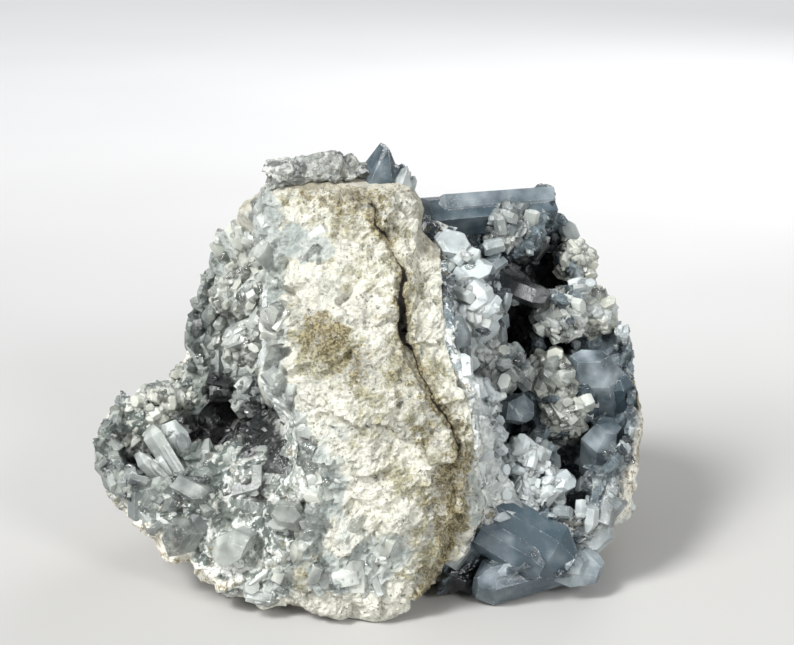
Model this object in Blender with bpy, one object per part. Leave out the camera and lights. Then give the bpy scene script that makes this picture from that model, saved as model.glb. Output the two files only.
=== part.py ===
"""A celestite geode, broken open: a tall ridge of pale host rock stands between two hollows lined with crystals.

Metres, +Z up. The broken front of the ridge faces -Y, the low hollow lies towards -X and the tall one towards +X.
The specimen rests on a small flat spot at z = 0, and its origin is on that plane, under the ridge.
"""
import math
import random

import bmesh
import bpy
from mathutils import Matrix, Vector
from mathutils.bvhtree import BVHTree

MM = 0.001

# The rock. Each lump is a stack of level outlines, bottom to top, in millimetres:
# height, then how far the outline reaches to the left (-X), right (+X), front (-Y) and back (+Y).
RIDGE = (
    (-3, -12, 9, -26, 26),
    (4, -20, 15.5, -33, 34),
    (14, -26, 27, -35, 38),
    (30, -26, 32, -34, 40),
    (46, -26, 32, -30, 38),
    (62, -26, 28, -23, 33),
    (74, -23, 17, -15, 26),
    (80, -21, 12, -9, 18),
    (84, -17, 9, -4, 11),
)
BACK_WALL = (
    (2, -24, 8, 6, 24),
    (13, -42, 8, 2, 37),
    (32, -43, 8, 4, 40),
    (46, -40, 8, 5, 38),
    (58, -36, 8, 4, 34),
    (70, -29, 8, 0, 28),
    (78, -23, 6, -3, 20),
    (82.5, -19, 4, -2, 12),
)
LEFT_LOBE = (
    (2, -22, 0, -21, 14),
    (5, -33, 0, -29, 24),
    (10, -45, 0, -29, 29),
    (17, -53, 0, -26, 32),
    (26, -58.5, 0, -22, 31),
    (32, -58, 0, -17, 29),
    (36, -53, 0, -9, 25),
)
RIGHT_LOBE = (
    (2, 10, 36, -15, 22),
    (5, 6, 51, -21, 33),
    (13, 4, 60, -22, 41),
    (28, 4, 60.5, -18, 44),
    (44, 4, 57.5, -12, 44),
    (57, 4, 52, -6, 42),
    (66, 6, 46.5, 2, 38),
    (70, 10, 43, 8, 33),
    (73, 17, 36, 14, 28),
)
OUTLINE_POINTS = 40
OUTLINE_SQUARENESS = 2.5  # 2 is an ellipse, and higher is squarer

# The skin of the rock, in millimetres: lumps and knobs are each a spacing and how far they rise.
SKIN_GRAIN = 1.7
LUMPS = (15.0, 6.0)
KNOBS = (5.5, 2.4)
BLOCK_TRIANGLES = 2000

# The crack down the broken front of the ridge, as (x, height) from the top.
CRACK = (
    (2, 82.5), (3.5, 78), (6, 74), (8.5, 70.5), (8, 67), (8.5, 63.5), (8.5, 59.5), (10, 55),
    (13.5, 48.5), (16, 45), (18.5, 42), (19.5, 37), (17.5, 32), (18.5, 28), (18.5, 21), (17.5, 15.5),
    (14.5, 8), (10.5, 4.5),
)
CRACK_WIDTH = 2.4
CRACK_DEPTH = 5.0
CRACK_REACH = 14.0  # how far its cutter stands out of the rock

# The two hollows. Every ellipsoid is its middle and its three radii, and every large crystal is
# its root, tip, width, thickness and turn about its length in degrees.
LEFT_HOLLOW = {
    # where the rock is missing
    "scoops": (
        ((-42, -3, 50), (27, 31, 37)),
        ((-32, -18, 27), (25, 27, 22)),
    ),
    # what stays open inside the crystal crust
    "opening": ((-42, -4, 58), (24.5, 26, 38)),
    # where the crust swells, and crystals radiate: a middle and a radius
    "mounds": (
        ((-54, 5, 28), 5), ((-49, 13, 31), 6), ((-41, 19, 31), 6), ((-36, 22, 36), 5),
        ((-28, -13, 28), 5.5), ((-20, -15, 31), 5), ((-37, -13, 23), 5),
        ((-24, 7, 46), 5), ((-22, 3, 59), 4), ((-28, 16, 56), 5),
    ),
    "large": (
        ((-36, -13, 21), (-44.5, -10, 34.5), 6, 3.2, 70),
        ((-35, -11, 22), (-40.5, -8, 35), 6, 3, 80),
        ((-38, -15, 21), (-46.5, -14.5, 30.5), 5, 3, 60),
        ((-31, -14, 22), (-33, -10, 32), 6, 4, 20),
        ((-14, -9, 36), (-22, -12, 42), 7, 5, 0),
        ((-14, 2, 58), (-23, -4, 55), 8, 6, 20),
        ((-13, 0, 66), (-20.5, -5, 65), 7, 5, 50),
        ((-20, 10, 52), (-29, 3, 48), 7, 5, 10),
        ((-20, -12, 14), (-27, -30, 16), 9, 6, 30),
        ((-30, -12, 12), (-38, -26, 17), 9, 7, 70),
        ((-12, -16, 20), (-15, -33.5, 24), 8, 6, 0),
    ),
    "seed": 3,
    "triangles": 2500,
}
RIGHT_HOLLOW = {
    "scoops": (
        ((38, -2, 47), (23.5, 33, 42)),
        ((39.5, -13, 16.5), (20, 20, 12.5)),
        ((27, -13, 9.5), (15, 13.5, 6)),
        ((27, 6, 75), (15, 10, 13)),
    ),
    "opening": ((38.5, -2, 52), (20, 28.5, 36.5)),
    "mounds": (
        ((24, 1, 65), 5), ((25, -2, 55), 6), ((27, -4, 45), 5), ((42.5, 11, 53), 5.5), ((49, 17, 52), 6),
        ((34, 14, 68.5), 5.5), ((41, 8, 32.5), 8), ((42, 17, 28), 7.5), ((35, -5, 20.5), 6.5),
        ((46, 19, 62), 5), ((54, 3, 15), 4.5), ((52, 10, 22), 5.5), ((28, 15, 31), 6.5),
    ),
    "large": (
        ((40, 20.5, 74), (14, 13, 73.5), 11.5, 10.5, 10),
        ((14, 6, 66), (19.5, -1, 73), 7, 6, 45),
        ((22, 5, 62), (27, -5, 68), 8, 6, 20),
        ((22, 3, 58), (29, -8, 55), 8, 6.5, 35),
        ((19, 13, 63), (44, 4, 57), 6.5, 5, 0),
        ((20, 4, 50), (29, -7, 46), 8, 6, 60),
        ((50, 22, 42), (48, 3.5, 39), 13, 10, 40),
        ((52, 18, 27), (50.5, 0, 28.5), 12, 10, 75),
        ((34, -4, 20), (34.5, -13, 32), 5.5, 4.5, 30),
        ((36, -4, 20), (43, -14, 24), 6.5, 5, 10),
        ((21, 8, 34), (31, -9, 38), 8, 6, 15),
        ((34, -2, 11), (32, -26.5, 9), 14, 9, 10),
        ((38, -2, 8), (42.5, -24.5, 8), 13, 9, 50),
        ((36, -13, 5), (16, -22.5, 4.5), 9, 7, 60),
        ((48, 2, 9), (50, -16, 12), 11, 8, 45),
        ((28, -5, 14), (28, -20, 14.5), 9, 6, 20),
    ),
    "seed": 5,
    "triangles": 3900,
}
# Small crystals fill the rest of the walls and the mounds, and stubs break up the outer faces of the crust.
WALL_DIRECTIONS = 76  # even directions round a hollow, of which some meet rock
MOUND_CROWD = 0.15  # small crystals for each square millimetre of a mound's radius squared
SMALL_LENGTH = (4.8, 7.4)
SMALL_WIDTH = (3.8, 6.2)
SMALL_ROOT = 2.5  # how deep each is rooted
SMALL_LEAN = 0.5
RIM = 2.5  # no small crystal stands this near to the specimen's outside
RIDGE_LENGTH = 0.4  # of a crystal's width, at its tip
END_SLOPE = 0.45  # how much of its width a crystal's end takes up in length
STUB_SPACING = 9.5
STUB_LENGTH = 8.0
STUB_RISE = (0.6, 2.0)
STUB_WIDTH = (6.0, 9.5)

# The broken stump of crystal along the top of the ridge, with the dark tip beside it.
CREST_BASE = ((-6, 4.5, 84), (14.5, 4.5, 4))
CREST_CRYSTALS = (
    ((-19.5, 4, 84.6), (-2, 2.5, 87.4), 8, 7.5, 25),
    ((-12, 2, 86.5), (-20, 1.5, 86), 7, 6, 70),
    ((-14, 3, 84), (-12.5, 0.5, 89.2), 6.5, 5, 20),
    ((-6, 3, 84), (-4.5, 1.5, 89.8), 6, 5, 40),
    ((2, 5, 79), (6, 3.5, 91), 9, 7, 25),
    ((7, 5, 79), (9, 1.5, 87), 5.5, 5, 60),
)
FIT_GAP = 0.35  # between crystal and the rock behind it
FLOOR_GAP = 0.6  # how far the crystals stay above what the rock rests on

ROCK_COLOUR = (0.78, 0.76, 0.70)
CRYSTAL_COLOUR = (0.50, 0.60, 0.65)


def material(name, colour, roughness, transmission=0.0):
    """A plain finish of one colour."""
    made = bpy.data.materials.new(name)
    made.use_nodes = True
    shader = made.node_tree.nodes["Principled BSDF"]
    shader.inputs["Base Color"].default_value = (*colour, 1)
    shader.inputs["Roughness"].default_value = roughness
    shader.inputs["Transmission Weight"].default_value = transmission
    return made


def add_object(name, mesh, finish=None):
    """An object in the scene. One with no finish is a helper, which a render leaves out."""
    made = bpy.data.objects.new(name, mesh)
    bpy.context.scene.collection.objects.link(made)
    if finish:
        made.data.materials.clear()
        made.data.materials.append(finish)
    else:
        made.hide_render = True
        made.display_type = "WIRE"
    return made


def mesh_of(name, bm):
    """The bmesh as a mesh whose faces point out."""
    bmesh.ops.recalc_face_normals(bm, faces=bm.faces)
    made = bpy.data.meshes.new(name)
    bm.to_mesh(made)
    bm.free()
    return made


def stacked(name, rows):
    """A lump of rock from its level outlines, each a superellipse between the row's four reaches."""
    bm = bmesh.new()
    rings = []
    for height, left, right, front, back in rows:
        middle = Vector(((left + right) / 2, (front + back) / 2, height))
        ring = []
        for i in range(OUTLINE_POINTS):
            turn = 2 * math.pi * i / OUTLINE_POINTS
            across, along = math.cos(turn), math.sin(turn)
            x = math.copysign(abs(across) ** (2 / OUTLINE_SQUARENESS), across) * (right - left) / 2
            y = math.copysign(abs(along) ** (2 / OUTLINE_SQUARENESS), along) * (back - front) / 2
            ring.append(bm.verts.new((middle + Vector((x, y, 0))) * MM))
        rings.append(ring)
    for low, high in zip(rings, rings[1:]):
        for i in range(OUTLINE_POINTS):
            j = (i + 1) % OUTLINE_POINTS
            bm.faces.new((low[i], low[j], high[j], high[i]))
    bm.faces.new(reversed(rings[0]))
    bm.faces.new(rings[-1])
    return add_object(name, mesh_of(name, bm))


def ellipsoid(name, shape, fineness=3):
    """An egg shape from its middle and its three radii."""
    middle, radii = shape
    bm = bmesh.new()
    bmesh.ops.create_icosphere(bm, subdivisions=fineness, radius=1)
    stretch = Matrix.Diagonal((*(radius * MM for radius in radii), 1))
    bmesh.ops.transform(bm, verts=bm.verts, matrix=Matrix.Translation(Vector(middle) * MM) @ stretch)
    return add_object(name, mesh_of(name, bm))


def slab_below(name, top):
    """A wide slab whose top is at this height in millimetres, which cuts what rests off flat."""
    bm = bmesh.new()
    bmesh.ops.create_cube(bm, size=200 * MM)
    bmesh.ops.translate(bm, verts=bm.verts, vec=(0, 0, (top - 100) * MM))
    return add_object(name, mesh_of(name, bm))


def boolean(obj, other, operation, itself=False, solver="EXACT"):
    step = obj.modifiers.new(operation.lower() + "_" + other.name, "BOOLEAN")
    step.operation = operation
    step.solver = solver
    step.use_self = itself
    step.object = other


def bulge(obj, name, size, rise):
    """Soft lumps of this size, which rise or sink by up to half of rise."""
    clouds = bpy.data.textures.new(name, "CLOUDS")
    clouds.noise_scale = size * MM
    clouds.noise_depth = 1
    step = obj.modifiers.new(name, "DISPLACE")
    step.texture = clouds
    step.strength = rise * MM
    step.mid_level = 0.5


def settled(obj):
    """The object's mesh with its modifiers carried out."""
    graph = bpy.context.evaluated_depsgraph_get()
    return bpy.data.meshes.new_from_object(obj.evaluated_get(graph))


def settle(obj):
    obj.data = settled(obj)
    obj.modifiers.clear()
    return obj


def thin_out(obj, triangles):
    """Fewer faces, which leaves flat facets as on broken rock."""
    obj.data.calc_loop_triangles()
    obj.modifiers.new("facets", "DECIMATE").ratio = triangles / len(obj.data.loop_triangles)


def largest_body(mesh):
    """Leaves only the largest of the mesh's separate bodies, so that no crumb floats free."""
    bm = bmesh.new()
    bm.from_mesh(mesh)
    unseen, bodies = set(bm.verts), []
    while unseen:
        body, edge = set(), [unseen.pop()]
        while edge:
            vert = edge.pop()
            body.add(vert)
            found = {e.other_vert(vert) for e in vert.link_edges} & unseen
            unseen -= found
            edge.extend(found)
        bodies.append(body)
    keep = max(bodies, key=len)
    bmesh.ops.delete(bm, geom=[v for v in bm.verts if v not in keep], context="VERTS")
    bm.to_mesh(mesh)
    bm.free()


def tree_of(obj):
    """The object's faces, for asking where a line meets them and what lies nearest."""
    return BVHTree.FromObject(obj, bpy.context.evaluated_depsgraph_get())


def front_of(tree, x, height):
    """Where a line from the front meets the faces, and the way out there, or None."""
    point, out, _, _ = tree.ray_cast(Vector((x, -100, height)) * MM, Vector((0, 1, 0)))
    return (point / MM, out) if point else (None, None)


def whole_block():
    """The specimen before it was broken open: four lumps grown together, with a knobbly skin."""
    block = stacked("block", RIDGE)
    for name, rows in (("back_wall", BACK_WALL), ("left_lobe", LEFT_LOBE), ("right_lobe", RIGHT_LOBE)):
        boolean(block, stacked(name, rows), "UNION")
    skin = block.modifiers.new("even_skin", "REMESH")
    skin.mode = "VOXEL"
    skin.voxel_size = SKIN_GRAIN * MM
    block.modifiers.new("soften", "SMOOTH").iterations = 4
    bulge(block, "lumps", *LUMPS)
    bulge(block, "knobs", *KNOBS)
    thin_out(settle(block), BLOCK_TRIANGLES)
    return settle(block)


def crack_cutter(block_tree):
    """A blade with its edge in the rock, carried down the crack's path. It narrows towards both ends."""
    bm = bmesh.new()
    rings = []
    for number, (x, height) in enumerate(CRACK):
        share = math.sin(math.pi * (number + 0.5) / len(CRACK)) ** 0.5
        half = CRACK_WIDTH / 2 * share
        front = front_of(block_tree, x, height)[0].y
        ring = [(x - half, front), (x, front + CRACK_DEPTH * share), (x + half, front)]
        ring += [(x + half, front - CRACK_REACH), (x - half, front - CRACK_REACH)]
        rings.append([bm.verts.new(Vector((a, b, height)) * MM) for a, b in ring])
    sides = len(rings[0])
    for high, low in zip(rings, rings[1:]):
        for i in range(sides):
            j = (i + 1) % sides
            bm.faces.new((high[i], high[j], low[j], low[i]))
    bm.faces.new(rings[0])
    bm.faces.new(rings[-1])
    return add_object("crack_cutter", mesh_of("crack_cutter", bm))


def scooped(name, hollow):
    """The hollow's scoops joined into one shape."""
    first, *others = (ellipsoid(f"{name}_{number}", scoop) for number, scoop in enumerate(hollow["scoops"]))
    for other in others:
        boolean(first, other, "UNION")
    return settle(first)


def host_rock(block, finish):
    """The block with its two hollows scooped out, its crack, and the flat spot that it rests on."""
    rock = add_object("host_rock", block.data.copy(), finish)
    boolean(rock, scooped("left_scoop", LEFT_HOLLOW), "DIFFERENCE")
    boolean(rock, scooped("right_scoop", RIGHT_HOLLOW), "DIFFERENCE")
    boolean(rock, crack_cutter(tree_of(block)), "DIFFERENCE")
    boolean(rock, slab_below("rest_spot", 0), "DIFFERENCE")
    settle(rock)
    largest_body(rock.data)
    return rock


def crystal(bm, root, tip, width, thickness, turn, sides=6):
    """Adds one crystal: a flat-sided prism from its root to its tip, drawn in at the end to a short ridge."""
    length = (tip - root).length
    points = [(RIDGE_LENGTH * width / 2, 0, length), (-RIDGE_LENGTH * width / 2, 0, length)]
    for i in range(sides):
        angle = 2 * math.pi * i / sides
        x, y = math.cos(angle) * width / 2, math.sin(angle) * thickness / 2
        points += [(x, y, 0), (x, y, length - END_SLOPE * width)]
    facing = (tip - root).to_track_quat("Z", "Y") @ Matrix.Rotation(math.radians(turn), 3, "Z").to_quaternion()
    corners = [bm.verts.new((root + facing @ Vector(point)) * MM) for point in points]
    bmesh.ops.convex_hull(bm, input=corners)


def even_directions(count):
    """Directions spread evenly round a sphere, along a golden spiral."""
    golden = math.pi * (3 - math.sqrt(5))
    for i in range(count):
        up = 1 - 2 * (i + 0.5) / count
        flat = math.sqrt(1 - up * up)
        yield Vector((flat * math.cos(golden * i), flat * math.sin(golden * i), up))


def share_of(point, shape):
    """How far out the point is in the ellipsoid: 0 in its middle, 1 on it."""
    middle, radii = shape
    return math.sqrt(sum(((p - m) / r) ** 2 for p, m, r in zip(point, middle, radii)))


def small_roots(hollow, block_tree):
    """Where small crystals stand on the walls and the mounds: (point, the way out of the crust)."""
    middle, radii = (Vector(v) for v in hollow["opening"])
    mounds = [(Vector(centre), radius) for centre, radius in hollow["mounds"]]
    for way in even_directions(WALL_DIRECTIONS):
        point = middle + Vector(radius * w for radius, w in zip(radii, way))
        nearest, out, _, apart = block_tree.find_nearest(point * MM)
        within = (point * MM - nearest).dot(out) < 0 and apart > RIM * MM
        if within and all((point - centre).length > radius for centre, radius in mounds):
            yield point, -Vector(w / radius for w, radius in zip(way, radii)).normalized()
    for centre, radius in mounds:
        for way in even_directions(round(MOUND_CROWD * radius * radius)):
            point = centre + way * radius
            if share_of(point, hollow["opening"]) < 0.97:
                yield point, way


def add_small_crystals(bm, hollow, block_tree, draw):
    """Small crystals all over the walls and the mounds, each leaning its own way."""
    for point, out in small_roots(hollow, block_tree):
        lean = Vector(draw.uniform(-SMALL_LEAN, SMALL_LEAN) for _ in range(3))
        aim = (out + lean).normalized()
        width, length = draw.uniform(*SMALL_WIDTH), draw.uniform(*SMALL_LENGTH)
        root = point - aim * SMALL_ROOT
        crystal(bm, root, root + aim * length, width, 0.75 * width, draw.uniform(0, 180), sides=4)


def add_stubs(bm, hollow, block_tree, draw):
    """Broken ends of crystal that stand a little out of the crust's outer faces, where it was broken open."""
    (x_middle, _, z_middle), (x_reach, _, z_reach) = hollow["scoops"][1]
    steps = [round(2 * reach / STUB_SPACING) for reach in (x_reach, z_reach)]
    for i in range(steps[0]):
        for j in range(steps[1]):
            x = x_middle - x_reach + (i + draw.random()) * STUB_SPACING
            height = z_middle - z_reach + (j + draw.random()) * STUB_SPACING
            point, out = front_of(block_tree, x, height)
            aim = Vector(draw.uniform(-SMALL_LEAN, SMALL_LEAN) for _ in range(3))
            width, rise = draw.uniform(*STUB_WIDTH), draw.uniform(*STUB_RISE)
            inside = point and any(share_of(point, scoop) < 0.93 for scoop in hollow["scoops"])
            if inside and share_of(point, hollow["opening"]) > 1.08:
                tip = point + out * rise
                aim = (out + aim).normalized()
                crystal(bm, tip - aim * STUB_LENGTH, tip, width, 0.75 * width, draw.uniform(0, 180), sides=4)


def crystals_object(name, large, *others):
    """The large crystals as one mesh, with what the other functions add."""
    bm = bmesh.new()
    for root, tip, *shape in large:
        crystal(bm, Vector(root), Vector(tip), *shape)
    for add in others:
        add(bm)
    return add_object(name, mesh_of(name, bm))


def fitted(crust, rock):
    """The crust with its roots cut off where the rock begins, and any loose crumb taken away."""
    grown = add_object("grown_" + crust.name, rock.data.copy())
    step = grown.modifiers.new("gap", "DISPLACE")
    step.strength = FIT_GAP * MM
    step.mid_level = 0
    for cutter in (settle(grown), slab_below("floor_" + crust.name, FLOOR_GAP), rock):
        boolean(crust, cutter, "DIFFERENCE", solver="MANIFOLD")
        largest_body(settle(crust).data)
    return crust


def crust(name, hollow, block, rock, finish):
    """What lines a hollow: the crystal between the rock and the open middle, with crystals fused to it."""
    draw = random.Random(hollow["seed"])
    block_tree = tree_of(block)
    lining = add_object(name, block.data.copy(), finish)
    boolean(lining, scooped(name + "_outer", hollow), "INTERSECT")
    boolean(lining, ellipsoid(name + "_inner", hollow["opening"]), "DIFFERENCE")
    settle(lining)
    for number, (middle, radius) in enumerate(hollow["mounds"]):
        boolean(lining, ellipsoid(f"{name}_mound_{number}", (middle, (radius,) * 3), 2), "UNION")
    grown = crystals_object(
        name + "_crystals",
        hollow["large"],
        lambda bm: add_small_crystals(bm, hollow, block_tree, draw),
        lambda bm: add_stubs(bm, hollow, block_tree, draw),
    )
    boolean(lining, grown, "UNION", itself=True)
    thin_out(settle(lining), hollow["triangles"])
    return fitted(settle(lining), rock)


def crest_crystals(rock, finish):
    """The stump of broken crystal along the top of the ridge, and the dark tip beside it."""
    base = ellipsoid("crest_base", CREST_BASE, 2)
    crest = add_object("crest_crystals", base.data.copy(), finish)
    boolean(crest, crystals_object("crest_points", CREST_CRYSTALS), "UNION", itself=True)
    return fitted(settle(crest), rock)


def main():
    for old in list(bpy.data.objects):
        bpy.data.objects.remove(old)
    celestite = material("celestite", CRYSTAL_COLOUR, 0.15, 0.6)
    block = whole_block()
    rock = host_rock(block, material("host_rock", ROCK_COLOUR, 0.9))
    crust("left_hollow_crust", LEFT_HOLLOW, block, rock, celestite)
    crust("right_hollow_crust", RIGHT_HOLLOW, block, rock, celestite)
    crest_crystals(rock, celestite)


main()
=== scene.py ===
# %% [markdown]
# # A celestite geode, broken open
# The specimen is two round hollows in a lump of pale host rock, which grew side by side and were
# broken open by hand. Between them a tall ridge of chalky rock stands, with a crack down its broken
# front. The low hollow lies on the left and the tall one on the right, and both are lined with
# blue-grey crystals of celestite.
#
# The solids come first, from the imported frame. This script dresses them: it gives the rock its
# grain and its stains, and the linings their thousands of single crystals. Lengths are in
# millimetres until a mesh is made.

# %% Load the frame
import math

import bmesh
import bpy
import numpy as np
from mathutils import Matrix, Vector
from mathutils.bvhtree import BVHTree


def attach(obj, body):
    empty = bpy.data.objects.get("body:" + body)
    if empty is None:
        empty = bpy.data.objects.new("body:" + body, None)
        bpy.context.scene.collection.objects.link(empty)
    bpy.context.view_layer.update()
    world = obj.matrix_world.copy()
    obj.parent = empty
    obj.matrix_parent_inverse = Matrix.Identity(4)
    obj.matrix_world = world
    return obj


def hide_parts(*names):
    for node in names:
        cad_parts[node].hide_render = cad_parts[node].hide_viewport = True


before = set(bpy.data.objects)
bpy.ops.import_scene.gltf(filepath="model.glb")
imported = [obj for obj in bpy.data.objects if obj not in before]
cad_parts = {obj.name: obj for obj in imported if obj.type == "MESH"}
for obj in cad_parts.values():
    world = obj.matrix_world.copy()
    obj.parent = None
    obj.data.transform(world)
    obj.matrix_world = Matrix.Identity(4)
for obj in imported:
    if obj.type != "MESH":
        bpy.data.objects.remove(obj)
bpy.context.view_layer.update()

MM = 0.001

# %% [markdown]
# ## Where the eye stands
# The picture looks down at the ridge from the front, from less than half a metre, through a long
# lens. A long lens keeps the two hollows in their true proportion, where a short one would swell
# whatever stands nearest.

# %% Camera
CAMERA_PLACE = (0.00719, -0.39778, 0.17594)
CAMERA_DROP = math.radians(17)  # how far it looks down
LENS, SENSOR = 90, 36  # in millimetres

camera = bpy.data.objects.new("camera", bpy.data.cameras.new("camera"))
bpy.context.scene.collection.objects.link(camera)
camera.data.lens, camera.data.sensor_width = LENS, SENSOR
camera.location = CAMERA_PLACE
camera.rotation_euler = (math.pi / 2 - CAMERA_DROP, 0, 0)
bpy.context.scene.camera = camera
view = 2 * math.degrees(math.atan(SENSOR / 2 / LENS))
print(f"the view is {view:.1f} degrees wide")

# %% [markdown]
# ## What it rests on, and the light
# A plain pale cloth lies under it. Soft daylight falls from above left, and a room's even light
# fills the shadows. Four flat lamps, two of them small, give the crystal faces something bright to
# mirror: broken crystal looks dull under even light, however good its material is.

# %% Floor
FLOOR_REACH = 3.0


def add_object(name, mesh):
    made = bpy.data.objects.new(name, mesh)
    bpy.context.scene.collection.objects.link(made)
    return made


corners = np.array([(-1, -1, 0), (1, -1, 0), (1, 1, 0), (-1, 1, 0)]) * FLOOR_REACH
floor_mesh = bpy.data.meshes.new("floor")
floor_mesh.from_pydata(corners.tolist(), [], [(0, 1, 2, 3)])
floor = add_object("floor", floor_mesh)

# %% Lamps and room
DAYLIGHT_FROM = (-0.52, -0.48, 0.85)
DAYLIGHT_SPREAD, DAYLIGHT_POWER = math.radians(14), 2.05
ROOM_TINT, ROOM_LIGHT = (0.93, 0.96, 1, 1), 0.34
LAMPS = (  # name, place, side of the square, power in watts
    ("window", (-0.50, -0.50, 0.60), 0.30, 4.5),
    ("sparkle_left", (-0.45, -0.60, 0.25), 0.06, 0.9),
    ("sparkle_right", (0.34, -0.55, 0.35), 0.16, 2.2),
    ("behind", (0.25, 0.55, 0.40), 0.30, 1.5),
)
MIDDLE = Vector((0, 0.004, 0.042))

for name, place, side, power in LAMPS:
    lamp = bpy.data.lights.new(name, "AREA")
    lamp.size, lamp.energy = side, power
    painted_light_share = add_object(name, lamp)
    painted_light_share.location = place
    painted_light_share.rotation_euler = (Vector(place) - MIDDLE).to_track_quat("Z", "Y").to_euler()
daylight = bpy.data.lights.new("daylight", "SUN")
daylight.angle, daylight.energy = DAYLIGHT_SPREAD, DAYLIGHT_POWER
shining = add_object("daylight", daylight)
shining.rotation_euler = Vector(DAYLIGHT_FROM).to_track_quat("Z", "Y").to_euler()
world = bpy.data.worlds.new("room")
bpy.context.scene.world = world
world.use_nodes = True
sky = world.node_tree.nodes["Background"].inputs
sky["Color"].default_value, sky["Strength"].default_value = ROOM_TINT, ROOM_LIGHT
bpy.context.scene.view_settings.view_transform = "Standard"
print("lamps:", ", ".join(row[0] for row in LAMPS))

# %% [markdown]
# ## Noise as whole arrays
# Stone has no smooth faces. Its roughness is worked out here for all of a skin's points at once:
# every point falls in a cell of a cubic lattice, and the cell's three whole numbers are stirred
# into numbers that look random but come out the same every time.

# %% Numbers for lattice cells
STIRRERS = (73856093, 19349663, 83492791)


def lattice_draw(cells, seed):
    """Three numbers from 0 to 1 for every cell. Its coordinates are multiplied by large primes and
    folded together, and three rounds of shifting and multiplying stir the bits. The top bits are
    the numbers."""
    whole = cells.astype(np.int64).astype(np.uint64)
    mixed = np.uint64(seed * 2654435761 % 2**32) + np.zeros(cells.shape[:-1], np.uint64)
    for axis, stirrer in enumerate(STIRRERS):
        mixed ^= whole[..., axis] * np.uint64(stirrer)
    draws = []
    for _ in range(3):
        mixed ^= mixed >> np.uint64(33)
        mixed *= np.uint64(0xFF51AFD7ED558CCD)
        mixed ^= mixed >> np.uint64(29)
        draws.append((mixed >> np.uint64(40)).astype(float) / 2**24)
    return np.stack(draws, axis=-1)


# %% Clouds, broken faces and ramps
def clouds(points, size, seed, layers=1):
    """Soft noise from -1 to 1. The numbers at the eight corners of a point's cell are mixed in the
    shares of the smooth step 3t^2 - 2t^3 of its place in the cell. Each further layer is half the
    size and half as strong."""
    total, weight_sum = 0, 0
    for layer in range(layers):
        spots = points * (2**layer / size)
        low = np.floor(spots)
        part = spots - low
        part = part * part * (3 - 2 * part)
        value = 0
        for corner in np.ndindex(2, 2, 2):
            share = np.prod(np.where(corner, part, 1 - part), axis=-1)
            value = value + share * lattice_draw(low + np.array(corner), seed + layer)[..., 0]
        total = total + (2 * value - 1) / 2**layer
        weight_sum += 1 / 2**layer
    return total / weight_sum


def broken_faces(points, size, seed):
    """Broken stone is a patchwork of flat faces. Each cell of the lattice holds one centre. A point
    belongs to the nearest centre, and its height is the dot product of its offset from that centre
    and the centre's own tilt. Returns heights in the points' unit for tilts up to 1, and how far
    the next nearest centre is beyond it."""
    home = np.floor(points / size)
    nearest = np.full(len(points), np.inf)
    second = nearest.copy()
    height = np.zeros(len(points))
    for step in np.ndindex(3, 3, 3):
        cells = home + np.array(step) - 1
        centres = (cells + lattice_draw(cells, seed)) * size
        offset = points - centres
        apart = np.linalg.norm(offset, axis=1)
        closer = apart < nearest
        second = np.where(closer, nearest, np.minimum(second, apart))
        tilt = 2 * lattice_draw(cells, seed + 1) - 1
        height = np.where(closer, (offset * tilt).sum(axis=1), height)
        nearest = np.where(closer, apart, nearest)
    return height, second - nearest


def ramp(low, high, values):
    """0 at low, 1 at high, the smooth step 3t^2 - 2t^3 between them, and level beyond. Low may be
    the larger one."""
    t = np.clip((values - low) / (high - low), 0, 1)
    return t * t * (3 - 2 * t)


# %% [markdown]
# ## From a solid to a fine skin
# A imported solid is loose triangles, a few thousand of them. A copy is merged into one surface and
# cut again into even squares, fine enough to carry a broken face of two millimetres. The solid
# itself stays as it is, for the simulation.

# %% Skins
def merged_copy(node):
    """The node's triangles, sewn together where their corners meet."""
    sewn = bmesh.new()
    sewn.from_mesh(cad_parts[node].data)
    bmesh.ops.remove_doubles(sewn, verts=sewn.verts, dist=1e-6)
    mesh = bpy.data.meshes.new(node + "_sewn")
    sewn.to_mesh(mesh)
    sewn.free()
    return mesh


def settled(obj):
    """The object with its modifiers carried out."""
    graph = bpy.context.evaluated_depsgraph_get()
    obj.data = bpy.data.meshes.new_from_object(obj.evaluated_get(graph))
    obj.modifiers.clear()
    return obj


def fine_skin(name, node, grain):
    """A copy of a node's surface in even squares of this many millimetres."""
    made = add_object(name, merged_copy(node))
    step = made.modifiers.new("even_grain", "REMESH")
    step.mode = "VOXEL"
    step.voxel_size = grain * MM
    return settled(made)


# %% Whole meshes as arrays
def points_of(mesh):
    """The mesh's points in millimetres, one row each."""
    flat = np.empty(3 * len(mesh.vertices), np.float32)
    mesh.vertices.foreach_get("co", flat)
    return flat.reshape(-1, 3).astype(float) / MM


def normals_of(mesh):
    flat = np.empty(3 * len(mesh.vertices), np.float32)
    mesh.vertex_normals.foreach_get("vector", flat)
    return flat.reshape(-1, 3).astype(float)


def edges_of(mesh):
    flat = np.empty(2 * len(mesh.edges), np.int32)
    mesh.edges.foreach_get("vertices", flat)
    return flat.reshape(-1, 2)


def triangles_of(mesh):
    mesh.calc_loop_triangles()
    flat = np.empty(3 * len(mesh.loop_triangles), np.int32)
    mesh.loop_triangles.foreach_get("vertices", flat)
    return flat.reshape(-1, 3)


# %% Arrays back into meshes
def set_points(mesh, points):
    mesh.vertices.foreach_set("co", (points * MM).astype(np.float32).ravel())
    mesh.update()


def set_masks(mesh, masks):
    """Keeps one number for each point, which a material reads by the mask's name."""
    for name, values in masks.items():
        mask = mesh.attributes.new(name, "FLOAT", "POINT")
        mask.data.foreach_set("value", np.asarray(values, np.float32))


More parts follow.
